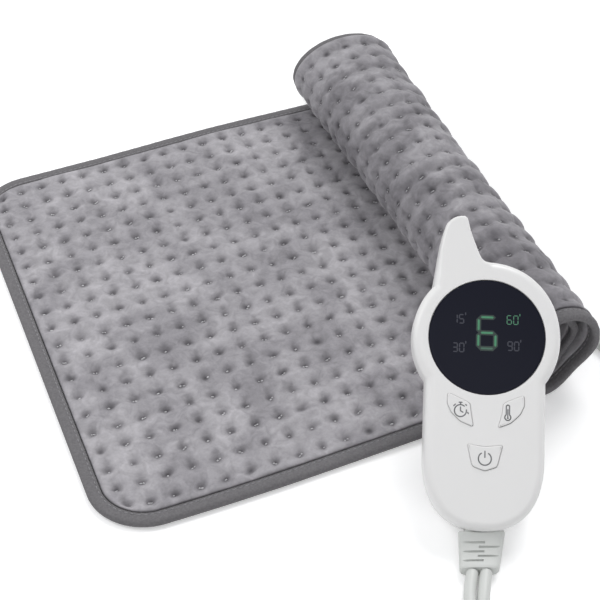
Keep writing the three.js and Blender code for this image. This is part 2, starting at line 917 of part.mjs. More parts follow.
// The back half of the case, with the posts that carry the board and the screws' wells
function rearShell() {
  const whole = halfCase(-rearDepth, -partingGap, rearRoundShares, rearRound);
  const floorLevel = wall - rearDepth;
  const room = stack(outline, [
    { height: overrun, inset: wall },
    { height: floorLevel + rearRound / 2, inset: wall + rearRound / 16 },
    { height: floorLevel, inset: wall + rearRound / 2 },
  ]);
  const boardUnder = -boardThickness / 2 - gap;
  const posts = [postLowY, postHighY].flatMap((y) =>
    [-postX, postX].map((x) => bar(postRadius, x, y, floorLevel - wall / 2, boardUnder, 12)),
  );
  const bosses = screws.map(({ x, y }) => bar(bossOuter, x, y, floorLevel - wall / 2, -partingGap, 12));
  const wells = screws.map(({ x, y }) =>
    bar(screwHeadRadius + gap, x, y, -rearDepth - overrun, -partingGap - screwSeat, 12),
  );
  const holes = screws.map(({ x, y }) => bar(screwRadius + gap, x, y, -rearDepth, overrun, 10));
  return cut(join(cut(whole, [room]), [...posts, ...bosses]), [neckHole, ...wells, ...holes]);
}

function caseScrew({ x, y }) {
  const seat = -partingGap - screwSeat - gap;
  const head = bar(screwHeadRadius, x, y, seat - screwHeadHeight, seat, 12);
  return join(head, [bar(screwRadius, x, y, seat - gap, seat + screwLength - gap, 10)]);
}

function displayWindow() {
  const low = windowSeat + gap;
  return bar(windowRadius, 0, headPlace, low, low + windowThickness - gap, 48);
}

// The board runs from the terminals up to the display, and is held under the switches
function circuitBoard() {
  const reach = Math.acos(boardHalfWidth / boardHeadRadius);
  const shape = new THREE.Shape();
  shape.moveTo(-boardHalfWidth, boardLow);
  shape.lineTo(boardHalfWidth, boardLow);
  shape.absarc(0, headPlace, boardHeadRadius, -reach, Math.PI + reach, false);
  const points = shape.getPoints(10);
  return prism(points, -boardThickness / 2, boardThickness / 2);
}

const boardTop = boardThickness / 2 + gap;
const boardUnder = -boardThickness / 2 - gap;

function digitDisplay() {
  return bar(displayRadius, 0, headPlace, boardTop, windowSeat - displayGap, 32);
}

// A cap with the flange that keeps it in the case, and the stem that presses its switch
function buttonCap(button) {
  const underWall = innerFace - gap;
  const cap = prism(button.outline, underWall - capFlangeThickness / 2, frontDepth + capProud);
  const flange = prism(
    inset(button.outline, -capFlange),
    underWall - capFlangeThickness,
    underWall,
  );
  const stemEnd = boardTop + switchHeight + plungerProud + gap;
  const stem = bar(stemRadius, button.stem.x, button.stem.y, stemEnd, underWall - capFlangeThickness / 2, 12);
  return join(cap, [flange, stem]);
}

function switchBody({ x, y }) {
  const body = box([switchSide, switchSide, switchHeight], [x, y, boardTop + switchHeight / 2]);
  const bore = bar(
    plungerRadius + gap,
    x,
    y,
    boardTop + switchHeight + plungerProud - plungerLength - buttonTravel - 2 * gap,
    boardTop + switchHeight + overrun,
    16,
  );
  return cut(body, [bore]);
}

function switchPlunger({ x, y }) {
  const top = boardTop + switchHeight + plungerProud;
  return bar(plungerRadius, x, y, top - plungerLength, top, 16);
}

piece("front_shell", frontShell(), whiteGloss, handset);
piece("rear_shell", rearShell(), whiteGloss, handset);
piece("display_window", displayWindow(), darkWindow, handset);
piece("circuit_board", circuitBoard(), boardGreen, handset);
piece("digit_display", digitDisplay(), black, handset);
buttons.forEach((button) => {
  piece(`${button.name}_button`, buttonCap(button), softGrey, handset);
  piece(`${button.name}_switch`, switchBody(button.stem), black, handset);
  piece(`${button.name}_plunger`, switchPlunger(button.stem), black, handset);
});
screws.forEach((place, index) => {
  piece(`case_screw_${index + 1}`, caseScrew(place), steel, handset);
});

// What hangs under the board, each piece 0.3 mm off it
function underBoard(size, x, y) {
  return box(size, [x, y, boardUnder - size[2] / 2]);
}

piece("relay", underBoard(relaySize, 0, relayY), black, handset);
piece("film_capacitor", underBoard(capacitorSize, 0, capacitorY), blueFilm, handset);
piece("terminal_block", underBoard(terminalSize, 0, terminalY), black, handset);
const chipCentre = [0, chipY - chipSize[1] / 2, boardTop + chipSize[2] / 2];
piece("controller_chip", box(chipSize, chipCentre), black, handset);

function fuse() {
  const geometry = new THREE.CylinderGeometry(fuseRadius, fuseRadius, fuseLength, 12);
  geometry.rotateZ(Math.PI / 2);
  geometry.translate(0, fuseY, boardUnder - fuseRadius);
  return geometry;
}

piece("fuse", fuse(), glassFuse, handset);

// The controller's tilt is the one at which its back just clears the rim of the roll
const turn = THREE.MathUtils.degToRad(handsetTurn);
const rearLevels = [
  { height: 0, inset: 0 },
  ...rearRoundShares.map(({ depth, inset: share }) => ({
    height: -rearDepth * depth,
    inset: rearRound * share,
  })),
];

function handsetFrame(tilt) {
  const right = new THREE.Vector3(Math.cos(turn), -Math.sin(turn), 0);
  const up = new THREE.Vector3(
    Math.sin(turn) * Math.cos(tilt),
    Math.cos(turn) * Math.cos(tilt),
    Math.sin(tilt),
  );
  const front = new THREE.Vector3().crossVectors(right, up);
  const lowest = Math.min(
    ...rearLevels.map((level) => level.inset * Math.sin(tilt) + level.height * Math.cos(tilt)),
  );
  const foot = new THREE.Vector3(footX, footY, gap - lowest);
  return { right, up, front, foot };
}

function backHeight(distance) {
  const edge = headRadius - distance;
  const deeper = rearLevels.findIndex((level) => level.inset >= edge);
  if (deeper < 0) {
    return -rearDepth;
  }
  const before = rearLevels[Math.max(deeper - 1, 0)];
  const after = rearLevels[deeper];
  const span = Math.max(after.inset - before.inset, Number.EPSILON);
  return THREE.MathUtils.lerp(before.height, after.height, (edge - before.inset) / span);
}

const rimPoints = [];
for (let step = 0; step <= 8 * dotsRound; step += 1) {
  const along = alongAt((rowAngle * step) / 8);
  for (let slice = 0; slice <= 10; slice += 1) {
    rimPoints.push(padPoint(along, bindingRound + (headRadius * slice) / 10, bindingInset - middle));
    rimPoints.push(padPoint(along, coverEdge + (headRadius * slice) / 10, -middle));
  }
}

function backClearance(tilt) {
  const { right, up, front, foot } = handsetFrame(tilt);
  return rimPoints.reduce((least, point) => {
    const offset = point.clone().sub(foot);
    const distance = Math.hypot(offset.dot(right), offset.dot(up) - headPlace);
    if (distance > headRadius) {
      return least;
    }
    return Math.min(least, backHeight(distance) - offset.dot(front));
  }, Infinity);
}

function leanAngle() {
  let low = 0;
  let high = Math.PI / 3;
  for (let step = 0; step < 40; step += 1) {
    const tilt = (low + high) / 2;
    if (backClearance(tilt) < gap) {
      low = tilt;
    } else {
      high = tilt;
    }
  }
  return high;
}

const tilt = leanAngle();
const pose = handsetFrame(tilt);
handset.matrixAutoUpdate = false;
handset.matrix.makeBasis(pose.right, pose.up, pose.front).setPosition(pose.foot);

// The strain relief bends from the controller's slope to the level floor
const bootRadius = bootLength / tilt;

function bootCentre(share) {
  const angle = tilt * share;
  return new THREE.Vector3(
    -bootLean * share ** 2,
    -gap - bootRadius * Math.sin(angle),
    bootRise + bootRadius * (1 - Math.cos(angle)),
  );
}

function bootFrame(share) {
  const centre = bootCentre(share);
  const step = 1 / 100;
  const way = bootCentre(share + step).sub(bootCentre(share - step)).normalize();
  const side = new THREE.Vector3(1, 0, 0).addScaledVector(way, -way.x).normalize();
  const up = new THREE.Vector3().crossVectors(way, side);
  return { centre, way, side, up };
}

function strainRelief() {
  const rings = acrossPlaces(0, 1, bootSteps).map((share) => {
    const { centre, side, up } = bootFrame(share);
    const width = THREE.MathUtils.lerp(bootWidth, bootTipWidth, share);
    const height = THREE.MathUtils.lerp(bootThickness, bootTipThickness, share);
    return ovalRing(width, height, bootSquareness).map(([x, y]) =>
      centre.clone().addScaledVector(side, x).addScaledVector(up, y),
    );
  });
  const body = skin(rings, fan(rings[0].length));
  const neckLength = neckReach + overrun + neckFlange / 2;
  const neck = box(
    [neckWidth, neckLength, neckThickness],
    [0, neckLength / 2 - overrun, bootRise],
  );
  const flange = box(
    [neckWidth + 2 * neckFlange, neckFlange, neckThickness + neckFlange],
    [0, neckReach + neckFlange / 2, bootRise],
  );
  const slots = bootSlotShares.flatMap((share, index) => {
    const { centre, way, side, up } = bootFrame(share);
    const sign = index % 2 === 0 ? -1 : 1;
    const height = THREE.MathUtils.lerp(bootThickness, bootTipThickness, share) / 2;
    return [-1, 1].map((face) => {
      const slot = new THREE.BoxGeometry(bootWidth, bootSlotLength, 2 * bootSlotDepth);
      const place = centre
        .clone()
        .addScaledVector(side, (sign * bootWidth * 7) / 16)
        .addScaledVector(up, face * height);
      slot.applyMatrix4(new THREE.Matrix4().makeBasis(side, way.clone().negate(), up).setPosition(place));
      return slot;
    });
  });
  return cut(join(body, [neck, flange]), slots);
}

piece("strain_relief", strainRelief(), softGrey, handset);

// A round cord along a smooth curve through points, cut off square at both ends
function cordTube(points, diameter, sides, step) {
  const curve = new THREE.CatmullRomCurve3(points, false, "centripetal");
  const count = Math.ceil(curve.getLength() / step);
  const frames = curve.computeFrenetFrames(count, false);
  const rings = acrossPlaces(0, 1, count).map((share, index) => {
    const centre = curve.getPointAt(share);
    return ovalRing(diameter, diameter, 1, sides).map(([x, y]) =>
      centre
        .clone()
        .addScaledVector(frames.normals[index], x)
        .addScaledVector(frames.binormals[index], y),
    );
  });
  return skin(rings, fan(sides));
}

// Leads from the strain relief to the terminals
const leadStart = neckReach + neckFlange + gap;
const leadEnd = terminalY - terminalSize[1] / 2 - gap;
for (let lead = 0; lead < 4; lead += 1) {
  const x = (lead - 3 / 2) * leadSpacing;
  const points = [
    new THREE.Vector3(x, leadStart, leadRise),
    new THREE.Vector3(x, (leadStart * 2 + leadEnd) / 3, leadRise / 2),
    new THREE.Vector3(x, (leadStart + leadEnd * 2) / 3, -leadDrop),
    new THREE.Vector3(x, leadEnd, -leadDrop),
  ];
  piece(`lead_${lead + 1}`, cordTube(points, leadDiameter, coilSides, leadDiameter * 2), copper, handset);
}

// Where the two cords leave the strain relief, and the straight stretch that follows
function cordStart(sideways) {
  const { centre, way, side } = bootFrame(1);
  const start = centre.addScaledVector(side, sideways).addScaledVector(way, gap);
  const straight = start.clone().addScaledVector(way, cordStraight);
  return [start, straight].map((point) => point.applyMatrix4(handset.matrix));
}

function places(list, originX, originY) {
  return list.map(([x, y, z]) => new THREE.Vector3(originX + x, originY + y, z));
}

// The coil's centre line at a number of loops from its outer end: inwards below, outwards above
const coilMiddle = coilLoops / 2;

function coilPoint(loops) {
  const fromMiddle = loops - coilMiddle;
  const radius = coilInnerRadius + coilPitch * Math.abs(fromMiddle);
  const climbed = THREE.MathUtils.clamp(fromMiddle / coilClimbLoops + 1 / 2, 0, 1);
  const angle = THREE.MathUtils.degToRad(coilEntryAngle) - 2 * Math.PI * loops;
  return new THREE.Vector3(
    coilX + radius * Math.cos(angle),
    coilY + radius * Math.sin(angle),
    coilLift + cordDiameter / 2 + coilPitch * climbed,
  );
}

function coilWay(loops) {
  return coilPoint(loops + 1 / coilSteps).sub(coilPoint(loops - 1 / coilSteps)).normalize();
}

function coil() {
  const count = Math.round(coilLoops * coilSteps);
  const rings = acrossPlaces(0, coilLoops, count).map((loops) => {
    const centre = coilPoint(loops);
    const way = coilWay(loops);
    const out = new THREE.Vector3(way.y, -way.x, 0).normalize();
    const up = new THREE.Vector3().crossVectors(out, way);
    return ovalRing(cordDiameter, cordDiameter, 1, coilSides).map(([x, y]) =>
      centre.clone().addScaledVector(out, x).addScaledVector(up, y),
    );
  });
  return skin(rings, fan(coilSides));
}

// The least gap between one loop of the coil and another, from points on its centre line
function coilGap() {
  const points = acrossPlaces(0, coilLoops, Math.round(coilLoops * coilSteps)).map(coilPoint);
  const least = points.map((point, index) =>
    Math.min(...points.slice(index + coilSteps / 2).map((other) => point.distanceTo(other))),
  );
  return Math.min(...least) - cordDiameter;
}

console.log(`least gap in the coil: ${coilGap().toFixed(2)} mm`);

// The strap round the coil's loops, opposite the place where the cord climbs
function cordTie() {
  const angle = THREE.MathUtils.degToRad(coilEntryAngle) - 2 * Math.PI * (coilMiddle + 1 / 2);
  const near = coilInnerRadius + coilPitch / 2 - cordDiameter / 2 - tieSlack;
  const far = coilInnerRadius + coilPitch * tieLoops + cordDiameter / 2 + tieSlack;
  const height = cordDiameter + coilPitch + 2 * gap;
  const level = coilLift - gap + height / 2;
  const centre = [(near + far) / 2, 0, level];
  const strap = cut(
    box([far - near + 2 * tieThickness, tieWidth, height + 2 * tieThickness], centre),
    [box([far - near, tieWidth + overrun, height], centre)],
  );
  strap.rotateZ(angle);
  strap.translate(coilX, coilY, 0);
  return strap;
}

const [mainsStart, mainsStraight] = cordStart(-cordSpread / 2);
const coilEntry = coilPoint(0);
const entryWay = coilWay(0);
const mainsEnd = coilEntry.clone().addScaledVector(entryWay, -gap);
piece(
  "mains_cord",
  cordTube(
    [mainsStart, mainsStraight, mainsEnd.clone().addScaledVector(entryWay, -cordStraight), mainsEnd],
    cordDiameter,
    cordSides,
    cordStep,
  ),
  cordGrey,
);
piece("mains_coil", coil(), cordGrey);
piece("cord_tie", cordTie(), black);

// The mains plug lies on the floor beside the coil, its blades towards the pad
const plugBack = plugLength + plugReliefLength;

// A body through oval sections at distances along +Y
function turnedBody(sections, squareness) {
  const rings = sections.map(({ at, width, height, square = squareness }) =>
    ovalRing(width, height, square).map(([x, z]) => new THREE.Vector3(x, at, z)),
  );
  return skin(rings, fan(rings[0].length));
}

function placed(geometry) {
  geometry.translate(plugX, plugY, plugHeight / 2 + gap);
  return geometry;
}

function mainsPlug() {
  const body = plugShares.toReversed().map(({ along, size }) => ({
    at: -plugLength * along,
    width: plugWidth * size,
    height: plugHeight * size,
    square: plugSquareness,
  }));
  const relief = [
    { at: -plugBack, width: plugReliefWidth, height: plugReliefWidth, square: 1 },
    { at: -plugLength - gap, width: plugReliefWidth * 5 / 4, height: plugReliefWidth * 5 / 4, square: 1 },
  ];
  const pockets = [-1, 1].map((side) => blade(side, gap));
  return cut(turnedBody([...relief, ...body], 1), pockets);
}

function blade(side, margin) {
  const length = bladeLength + bladeDepth + margin;
  return box(
    [bladeThickness + 2 * margin, length, bladeWidth + 2 * margin],
    [(side * bladeSpacing) / 2, length / 2 - bladeDepth - margin, 0],
  );
}

piece("mains_plug", placed(mainsPlug()), softGrey);
piece("plug_blade_left", placed(blade(-1, 0)), brass);
piece("plug_blade_right", placed(blade(1, 0)), brass);

const tailStart = coilPoint(coilLoops).addScaledVector(coilWay(coilLoops), gap);
const tailEnd = new THREE.Vector3(plugX, plugY - plugBack - gap, plugHeight / 2 + gap);
piece(
  "mains_tail",
  cordTube([tailStart, ...places(tailPoints, coilX, coilY), tailEnd], cordDiameter, cordSides, cordStep / 2),
  cordGrey,
);

// The pad's cord, from the controller round the roll to the connector at the far edge
const plugEdge = padWidth + gap + socketDepth + gap;
const cordEnd = new THREE.Vector3(
  socketX,
  plugEdge + padPlugLength + padPlugReliefLength + gap,
  socketHeight / 2 + gap,
);
const padCordWay = [...cordStart(cordSpread / 2), ...places(padCordPoints, flatLength, 0), cordEnd];
piece("pad_cord", cordTube(padCordWay, cordDiameter, cordSides, cordStep), cordGrey);

function padSocket() {
  const centre = [socketX, padWidth + gap + socketDepth / 2, gap + socketHeight / 2];
  const body = box([socketWidth, socketDepth, socketHeight], centre);
  const flangeLength = socketFlangeDepth + gap + socketWall / 2;
  const flange = box(
    [socketFlangeWidth, flangeLength, socketFlangeThickness],
    [socketX, padWidth - socketFlangeDepth + flangeLength / 2, middle],
  );
  const mouth = box(
    [socketWidth - 2 * socketWall, socketDepth, socketHeight - 2 * socketWall],
    [centre[0], centre[1] + socketDepth - noseDepth - gap, centre[2]],
  );
  const pinHoles = [-1, 1].map((side) => pin(side, gap));
  return cut(join(body, [flange]), [mouth, ...pinHoles]);
}

function pin(side, margin) {
  const length = pinLength + pinRoot + margin;
  const geometry = new THREE.CylinderGeometry(pinRadius + margin, pinRadius + margin, length, 10);
  const root = padWidth + gap + socketDepth - noseDepth - gap - pinRoot - margin;
  geometry.translate(socketX + (side * pinSpacing) / 2, root + length / 2, gap + socketHeight / 2);
  return geometry;
}

function padPlug() {
  const level = gap + socketHeight / 2;
  const wide = { width: socketWidth, height: socketHeight - gap };
  const body = turnedBody(
    [
      { at: 0, ...wide, square: plugSquareness },
      { at: (padPlugLength * 3) / 4, ...wide, square: plugSquareness },
      { at: padPlugLength, width: padPlugReliefWidth * 3 / 2, height: padPlugReliefWidth, square: 1 },
      {
        at: padPlugLength + padPlugReliefLength,
        width: padPlugReliefWidth,
        height: padPlugReliefWidth * 9 / 10,
        square: 1,
      },
    ],
    1,
  );
  body.translate(socketX, plugEdge, level);
  const noseLength = noseDepth + gap + overrun;
  const nose = box(
    [socketWidth - 2 * socketWall - 2 * gap, noseLength, socketHeight - 2 * socketWall - 2 * gap],
    [socketX, plugEdge - noseDepth - gap + gap + noseLength / 2, level],
  );
  return cut(join(body, [nose]), [-1, 1].map((side) => pin(side, gap)));
}

piece("pad_socket", padSocket(), black);
piece("socket_pin_left", pin(-1, 0), brass);
piece("socket_pin_right", pin(1, 0), brass);
piece("pad_plug", padPlug(), softGrey);

export default model;
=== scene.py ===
import math

import bpy
import numpy as np
from mathutils import Matrix, Vector, geometry


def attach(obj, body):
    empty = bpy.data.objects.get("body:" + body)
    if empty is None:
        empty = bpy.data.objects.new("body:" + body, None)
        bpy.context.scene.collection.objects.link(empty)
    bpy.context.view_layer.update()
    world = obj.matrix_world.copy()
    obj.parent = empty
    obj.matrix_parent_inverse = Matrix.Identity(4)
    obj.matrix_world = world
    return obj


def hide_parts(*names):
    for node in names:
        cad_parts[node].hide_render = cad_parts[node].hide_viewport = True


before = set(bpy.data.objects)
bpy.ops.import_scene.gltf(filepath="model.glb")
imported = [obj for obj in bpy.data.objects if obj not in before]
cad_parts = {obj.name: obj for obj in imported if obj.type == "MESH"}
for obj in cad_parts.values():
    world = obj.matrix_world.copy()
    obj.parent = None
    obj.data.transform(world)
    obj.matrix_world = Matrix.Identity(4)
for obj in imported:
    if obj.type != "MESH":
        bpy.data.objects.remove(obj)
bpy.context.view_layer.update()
bpy.context.scene.view_settings.view_transform = "Standard"

# The set: a camera that looks down at half a right angle, a white table, and soft studio light.
# A wide lamp beyond the roll draws each dot of the plush, a weak one fills from the front, a
# softbox lights the left side, and the sky does the rest.
MM = 0.001
FLAT_LENGTH = 255.2
PAD_WIDTH = 300.0
CAMERA_PLACE = (-50.3, -358.4, 526.8)
CAMERA_TILT, CAMERA_TURN = 45, -23.46
LENS, NEAREST_SEEN = 74.16, 0.01
SKY_LIGHT = 0.52
TABLE_LIFT = 0.27
TABLE_REACH = 6.0


def row(points):
    """Millimetres from the pad's near left corner to metres in the row's frame."""
    moved = np.asarray(points, float) - (FLAT_LENGTH / 2, PAD_WIDTH / 2, 0)
    return moved * MM


camera = bpy.data.objects.new("camera", bpy.data.cameras.new("camera"))
bpy.context.scene.collection.objects.link(camera)
camera.location = row(CAMERA_PLACE)
camera.rotation_euler = (math.radians(CAMERA_TILT), 0, math.radians(CAMERA_TURN))
camera.data.lens = LENS
camera.data.clip_start = NEAREST_SEEN
bpy.context.scene.camera = camera


def set_inputs(node, **values):
    """Puts values on a node's inputs. An underscore stands for the space in an input's name."""
    for name, value in values.items():
        node.inputs[name.replace("_", " ")].default_value = value
    return node


def new_node(tree, kind, **values):
    """A new shader node with values on its inputs."""
    return set_inputs(tree.nodes.new(f"ShaderNode{kind}"), **values)


def wire(tree, *wires):
    """Joins nodes, each wire given as a node and its output, and a node and its input."""
    for start, output, end, socket in wires:
        tree.links.new(start.outputs[output], end.inputs[socket])


def white_rays(tree):
    """1 for the rays that see a white background, and 0 for those that carry light to the pad."""
    rays = new_node(tree, "LightPath")
    seen = rays.outputs["Is Camera Ray"]
    for kind in ("Is Transmission Ray", "Is Glossy Ray"):
        either = new_node(tree, "Math")
        either.operation = "MAXIMUM"
        tree.links.new(seen, either.inputs[0])
        tree.links.new(rays.outputs[kind], either.inputs[1])
        seen = either.outputs[0]
    return seen


sky = bpy.data.worlds.new("studio")
bpy.context.scene.world = sky
sky.use_nodes = True
tree = sky.node_tree
tree.nodes.clear()
lighting = new_node(tree, "Background", Color=(0.97, 0.98, 1, 1), Strength=SKY_LIGHT)
white = new_node(tree, "Background", Color=(1, 1, 1, 1))
mix, out = new_node(tree, "MixShader"), new_node(tree, "OutputWorld")
tree.links.new(white_rays(tree), mix.inputs["Fac"])
wire(tree, (lighting, 0, mix, 1), (white, 0, mix, 2), (mix, 0, out, "Surface"))


def lamp(name, kind, place, energy, **facts):
    """A lamp at a place in metres, that shines at the middle of the pad's flat stretch."""
    light = bpy.data.objects.new(name, bpy.data.lights.new(name, kind))
    bpy.context.scene.collection.objects.link(light)
    light.rotation_euler = Vector(place).to_track_quat("Z", "Y").to_euler()
    light.location = Vector(place)
    light.data.energy = energy
    for fact, value in facts.items():
        setattr(light.data, fact, value)


lamp("back_sun", "SUN", (0.725, 0.666, 1.25), 1.22, angle=math.radians(28))
lamp("front_fill", "SUN", (-0.5, -0.8, 0.9), 0.36, angle=math.radians(50))
lamp("left_softbox", "AREA", (-0.42, 0.16, 0.5), 1.15, shape="RECTANGLE", size=0.2, size_y=0.5)


def principled(name):
    """A new material, its node tree and its shader."""
    material = bpy.data.materials.new(name)
    material.use_nodes = True
    tree = material.node_tree
    return material, tree, tree.nodes["Principled BSDF"]


table, tree, shader = principled("table_white")
set_inputs(shader, Base_Color=(0.96, 0.96, 0.96, 1), Roughness=0.9, Specular_IOR_Level=0.1)
lift, both = new_node(tree, "Emission"), new_node(tree, "AddShader")
seen_white = new_node(tree, "Math")
seen_white.operation = "MULTIPLY"
seen_white.inputs[1].default_value = TABLE_LIFT
tree.links.new(white_rays(tree), seen_white.inputs[0])
wire(
    tree,
    (seen_white, 0, lift, "Strength"),
    (shader, 0, both, 0),
    (lift, 0, both, 1),
    (both, 0, tree.nodes["Material Output"], "Surface"),
)
floor_mesh = bpy.data.meshes.new("table_top")
SQUARE = ((-1, -1), (1, -1), (1, 1), (-1, 1))
floor_corners = [(x * TABLE_REACH, y * TABLE_REACH, 0) for x, y in SQUARE]
floor_mesh.from_pydata(floor_corners, [], [(0, 1, 2, 3)])
floor_mesh.materials.append(table)
floor = bpy.data.objects.new("table_top", floor_mesh)
bpy.context.scene.collection.objects.link(floor)

# The upper plush cover of the pad: short-pile velvet, welded to the layers below in a grid of dots,
# which puffs up between them. The pad lies flat at the left and is wound into a roll at the right,
# whose near end is crumpled and pushed in.
TURN = 2 * math.pi
PAD_LENGTH = 600.0
FLAT_GROWTH = 7.9
THICKNESS = 5.2
CORE_RADIUS = 5.5
WINDING_PITCH = THICKNESS + 3.15
ROLL_LENGTH = PAD_LENGTH - FLAT_LENGTH - FLAT_GROWTH / 2
ROLL_RADIUS = math.sqrt(CORE_RADIUS**2 + WINDING_PITCH * ROLL_LENGTH / math.pi)
END_ANGLE = TURN * (ROLL_RADIUS - CORE_RADIUS) / WINDING_PITCH
SHRINK = WINDING_PITCH / TURN
CLOTH_END = PAD_LENGTH - 10.8
COVER_EDGE = 7.9
CORNER = 24.1
DOT_ROWS = 18
DOTS_ACROSS = 20


def angle_at(along):
    """The angle that the roll has turned at a length along the pad."""
    wound = (along - FLAT_LENGTH) * ROLL_LENGTH / (PAD_LENGTH - FLAT_LENGTH)
    return (ROLL_RADIUS - np.sqrt(np.maximum(ROLL_RADIUS**2 - 2 * SHRINK * wound, 0))) / SHRINK


def along_at(angle):
    """The length along the pad at an angle of the roll."""
    wound = ROLL_RADIUS * angle - SHRINK * angle**2 / 2
    return FLAT_LENGTH + wound * (PAD_LENGTH - FLAT_LENGTH) / ROLL_LENGTH


HANDSET = Matrix(
    (
        (0.8929004, 0.3737286, -0.2511093, 46.0 + FLAT_LENGTH / 2),
        (-0.4502543, 0.7411420, -0.4979755, -219.3 + PAD_WIDTH / 2),
        (0.0, 0.5577056, 0.8300389, 8.748377),
        (0, 0, 0, 1),
    )
)
HEAD_RADIUS, HEAD_PLACE, REAR_DEPTH = 37.5, 97.0, 13.0
CASE_GAP = 0.35
CASE_PRESS, PRESS_EASE, PRESS_REACH = 3, 7, 10


def clear_of_controller(points):
    """Presses the cloth flatter under the controller's head, so that the two don't touch."""
    turn = np.array(HANDSET.to_3x3())
    own = (points - np.array(HANDSET.translation)) @ turn
    beside = np.hypot(own[..., 0], own[..., 1] - HEAD_PLACE) - HEAD_RADIUS
    free = -REAR_DEPTH - CASE_GAP - own[..., 2]
    near = np.clip(1 - beside / PRESS_REACH, 0, 1) * (free > -CASE_PRESS - 0.5)
    eased = np.maximum((free + CASE_PRESS) * 0.7, 0)
    own[..., 2] -= (np.where(free < PRESS_EASE, eased, free) - free) * near
    return own @ turn.T + np.array(HANDSET.translation)


WAVE_HEIGHT = 1.5
WAVE_ALONG, WAVE_ACROSS = 70, 170


def wave(along, across):
    """How far the flat stretch stands off the table: low waves near its far edge."""
    along_share = np.clip((along - WAVE_ALONG) / (FLAT_LENGTH - 75), 0, 1)
    across_share = np.clip((across - WAVE_ACROSS) / (PAD_WIDTH - WAVE_ACROSS), 0, 1)
    return WAVE_HEIGHT * np.sin(math.pi * along_share) ** 2 * across_share**2


def from_end(distance, reach):
    """1 at an end of the cloth, falling to 0 at a reach from it."""
    return np.clip(1 - distance / reach, 0, 1)


# the winding's width and height as shares of its radius, at the near and at the far end, and how
# much of it is drawn in half-way
OUTER_WIDE, OUTER_HIGH, OUTER_WAIST = (0.95, 1.32), (0.985, 0.89), -0.03
CORE_WIDE, CORE_HIGH = (1.3, 0.73), (1.9, 0.91)
# the near end's crumples: size, waves for each radian, and phase
FOLDS = ((1.5, 3.05, 0.6), (0.75, 5.1, 2))
CREASES = ((0.34, 11.1, 0.4), (0.22, 17.2, 2))
CRUMPLED = 60
# the turns of the winding after which the near end is crumpled, set back, and set back deeply
CRUMPLE_FROM, HOLLOW_FROM, DEEP_FROM = 0.95, 0.84, 1.75
HOLLOW_OVER, HOLLOW, DEEP_HOLLOW = 0.3, 8, 20
SAG, SAG_REACH = 0.18, 70
CORNER_PUSH, PUSH_ALONG, PUSH_ACROSS = 4.6, 115, 90


def cloth(along, across, offset):
    """Points of the pad's cloth, from its length, width and height over the middle surface."""
    along, across, offset = np.broadcast_arrays(along, across, offset)
    share = across / PAD_WIDTH
    angle = angle_at(np.maximum(along, FLAT_LENGTH))
    turns = angle / TURN
    wound = angle / END_ANGLE
    rolled = along > FLAT_LENGTH

    def between(ends, waist=0):
        return ends[0] * (1 - share) + ends[1] * share + waist

    waist = OUTER_WAIST * np.sin(math.pi * np.clip(share, 0, 1))
    wide, high = ROLL_RADIUS * between(OUTER_WIDE, waist), ROLL_RADIUS * between(OUTER_HIGH, waist)
    half = wide * (1 - wound) + CORE_RADIUS * between(CORE_WIDE) * wound - offset
    tall = high * (1 - wound) + CORE_RADIUS * between(CORE_HIGH) * wound - offset
    centre = FLAT_LENGTH + FLAT_GROWTH * share

    near_end = from_end(across, CRUMPLED) ** 2
    inner = np.clip(turns - CRUMPLE_FROM, 0, 2) * near_end
    folds = sum(size * (1 + np.sin(rate * angle + phase)) for size, rate, phase in FOLDS)
    creases = sum(size * np.sin(rate * angle + phase) for size, rate, phase in CREASES)
    wrinkle = np.minimum(inner, near_end) * (creases - folds * (1 - 0.5 * wound))
    low_right = np.where(np.mod(angle, TURN) < math.pi / 2, np.sin(2 * angle) ** 2, 0)
    sagged = 1 - SAG * low_right * from_end(across, SAG_REACH)
    in_roll = centre + (half + wrinkle) * sagged * np.sin(angle)
    x = np.where(rolled, in_roll, along * centre / FLAT_LENGTH)
    in_roll = high - (tall + wrinkle) * sagged * np.cos(angle)
    z = THICKNESS / 2 + np.where(rolled, in_roll, offset)
    z = z + np.where(rolled, 0, wave(along, across))

    turned_in = np.clip((turns - HOLLOW_FROM) / HOLLOW_OVER, 0, 1)
    hollow = HOLLOW * turned_in**2 * (3 - 2 * turned_in) * near_end
    hollow = hollow + DEEP_HOLLOW * np.clip(turns - DEEP_FROM, 0, 1) * near_end
    ragged = 4.5 + 2.6 * np.sin(1.87 * angle) + 1.6 * np.sin(along / 4.7)
    pushed = CORNER_PUSH * from_end(along, PUSH_ALONG) ** 1.8
    y = across + hollow + inner * ragged + pushed * from_end(across, PUSH_ACROSS) ** 1.3
    return clear_of_controller(np.stack([x, y, z], axis=-1))


WAVES = 9


def bumps(along, across, scale, seed):
    """Smooth noise from -1 to 1 over the cloth, one hill about every scale millimetres."""
    draw = np.random.default_rng(seed)
    total = np.zeros(np.broadcast(along, across).shape)
    for _ in range(WAVES):
        turn = draw.uniform(0, math.pi)
        rate = draw.uniform(0.6, 1.5) * TURN / scale
        phase = draw.uniform(0, TURN)
        total += np.sin(rate * (along * math.cos(turn) + across * math.sin(turn)) + phase)
    return total / (WAVES / 2)


def rounded(along, across):
    """Bends the two free corners of a rectangular grid to the pad's round corners."""
    for side in (-1, 1):
        centre = PAD_WIDTH / 2 + side * (PAD_WIDTH / 2 - COVER_EDGE - CORNER)
        out_along = np.maximum(COVER_EDGE + CORNER - along, 0)
        out_across = np.maximum(side * (across - centre), 0)
        inside = (out_along > 0) & (out_across > 0)
        less_along = np.sqrt(np.maximum(1 - out_across**2 / (2 * CORNER**2), 0))
        less_across = np.sqrt(np.maximum(1 - out_along**2 / (2 * CORNER**2), 0))
        along = np.where(inside, COVER_EDGE + CORNER - out_along * less_along, along)
        across = np.where(inside, centre + side * out_across * less_across, across)
    return along, across


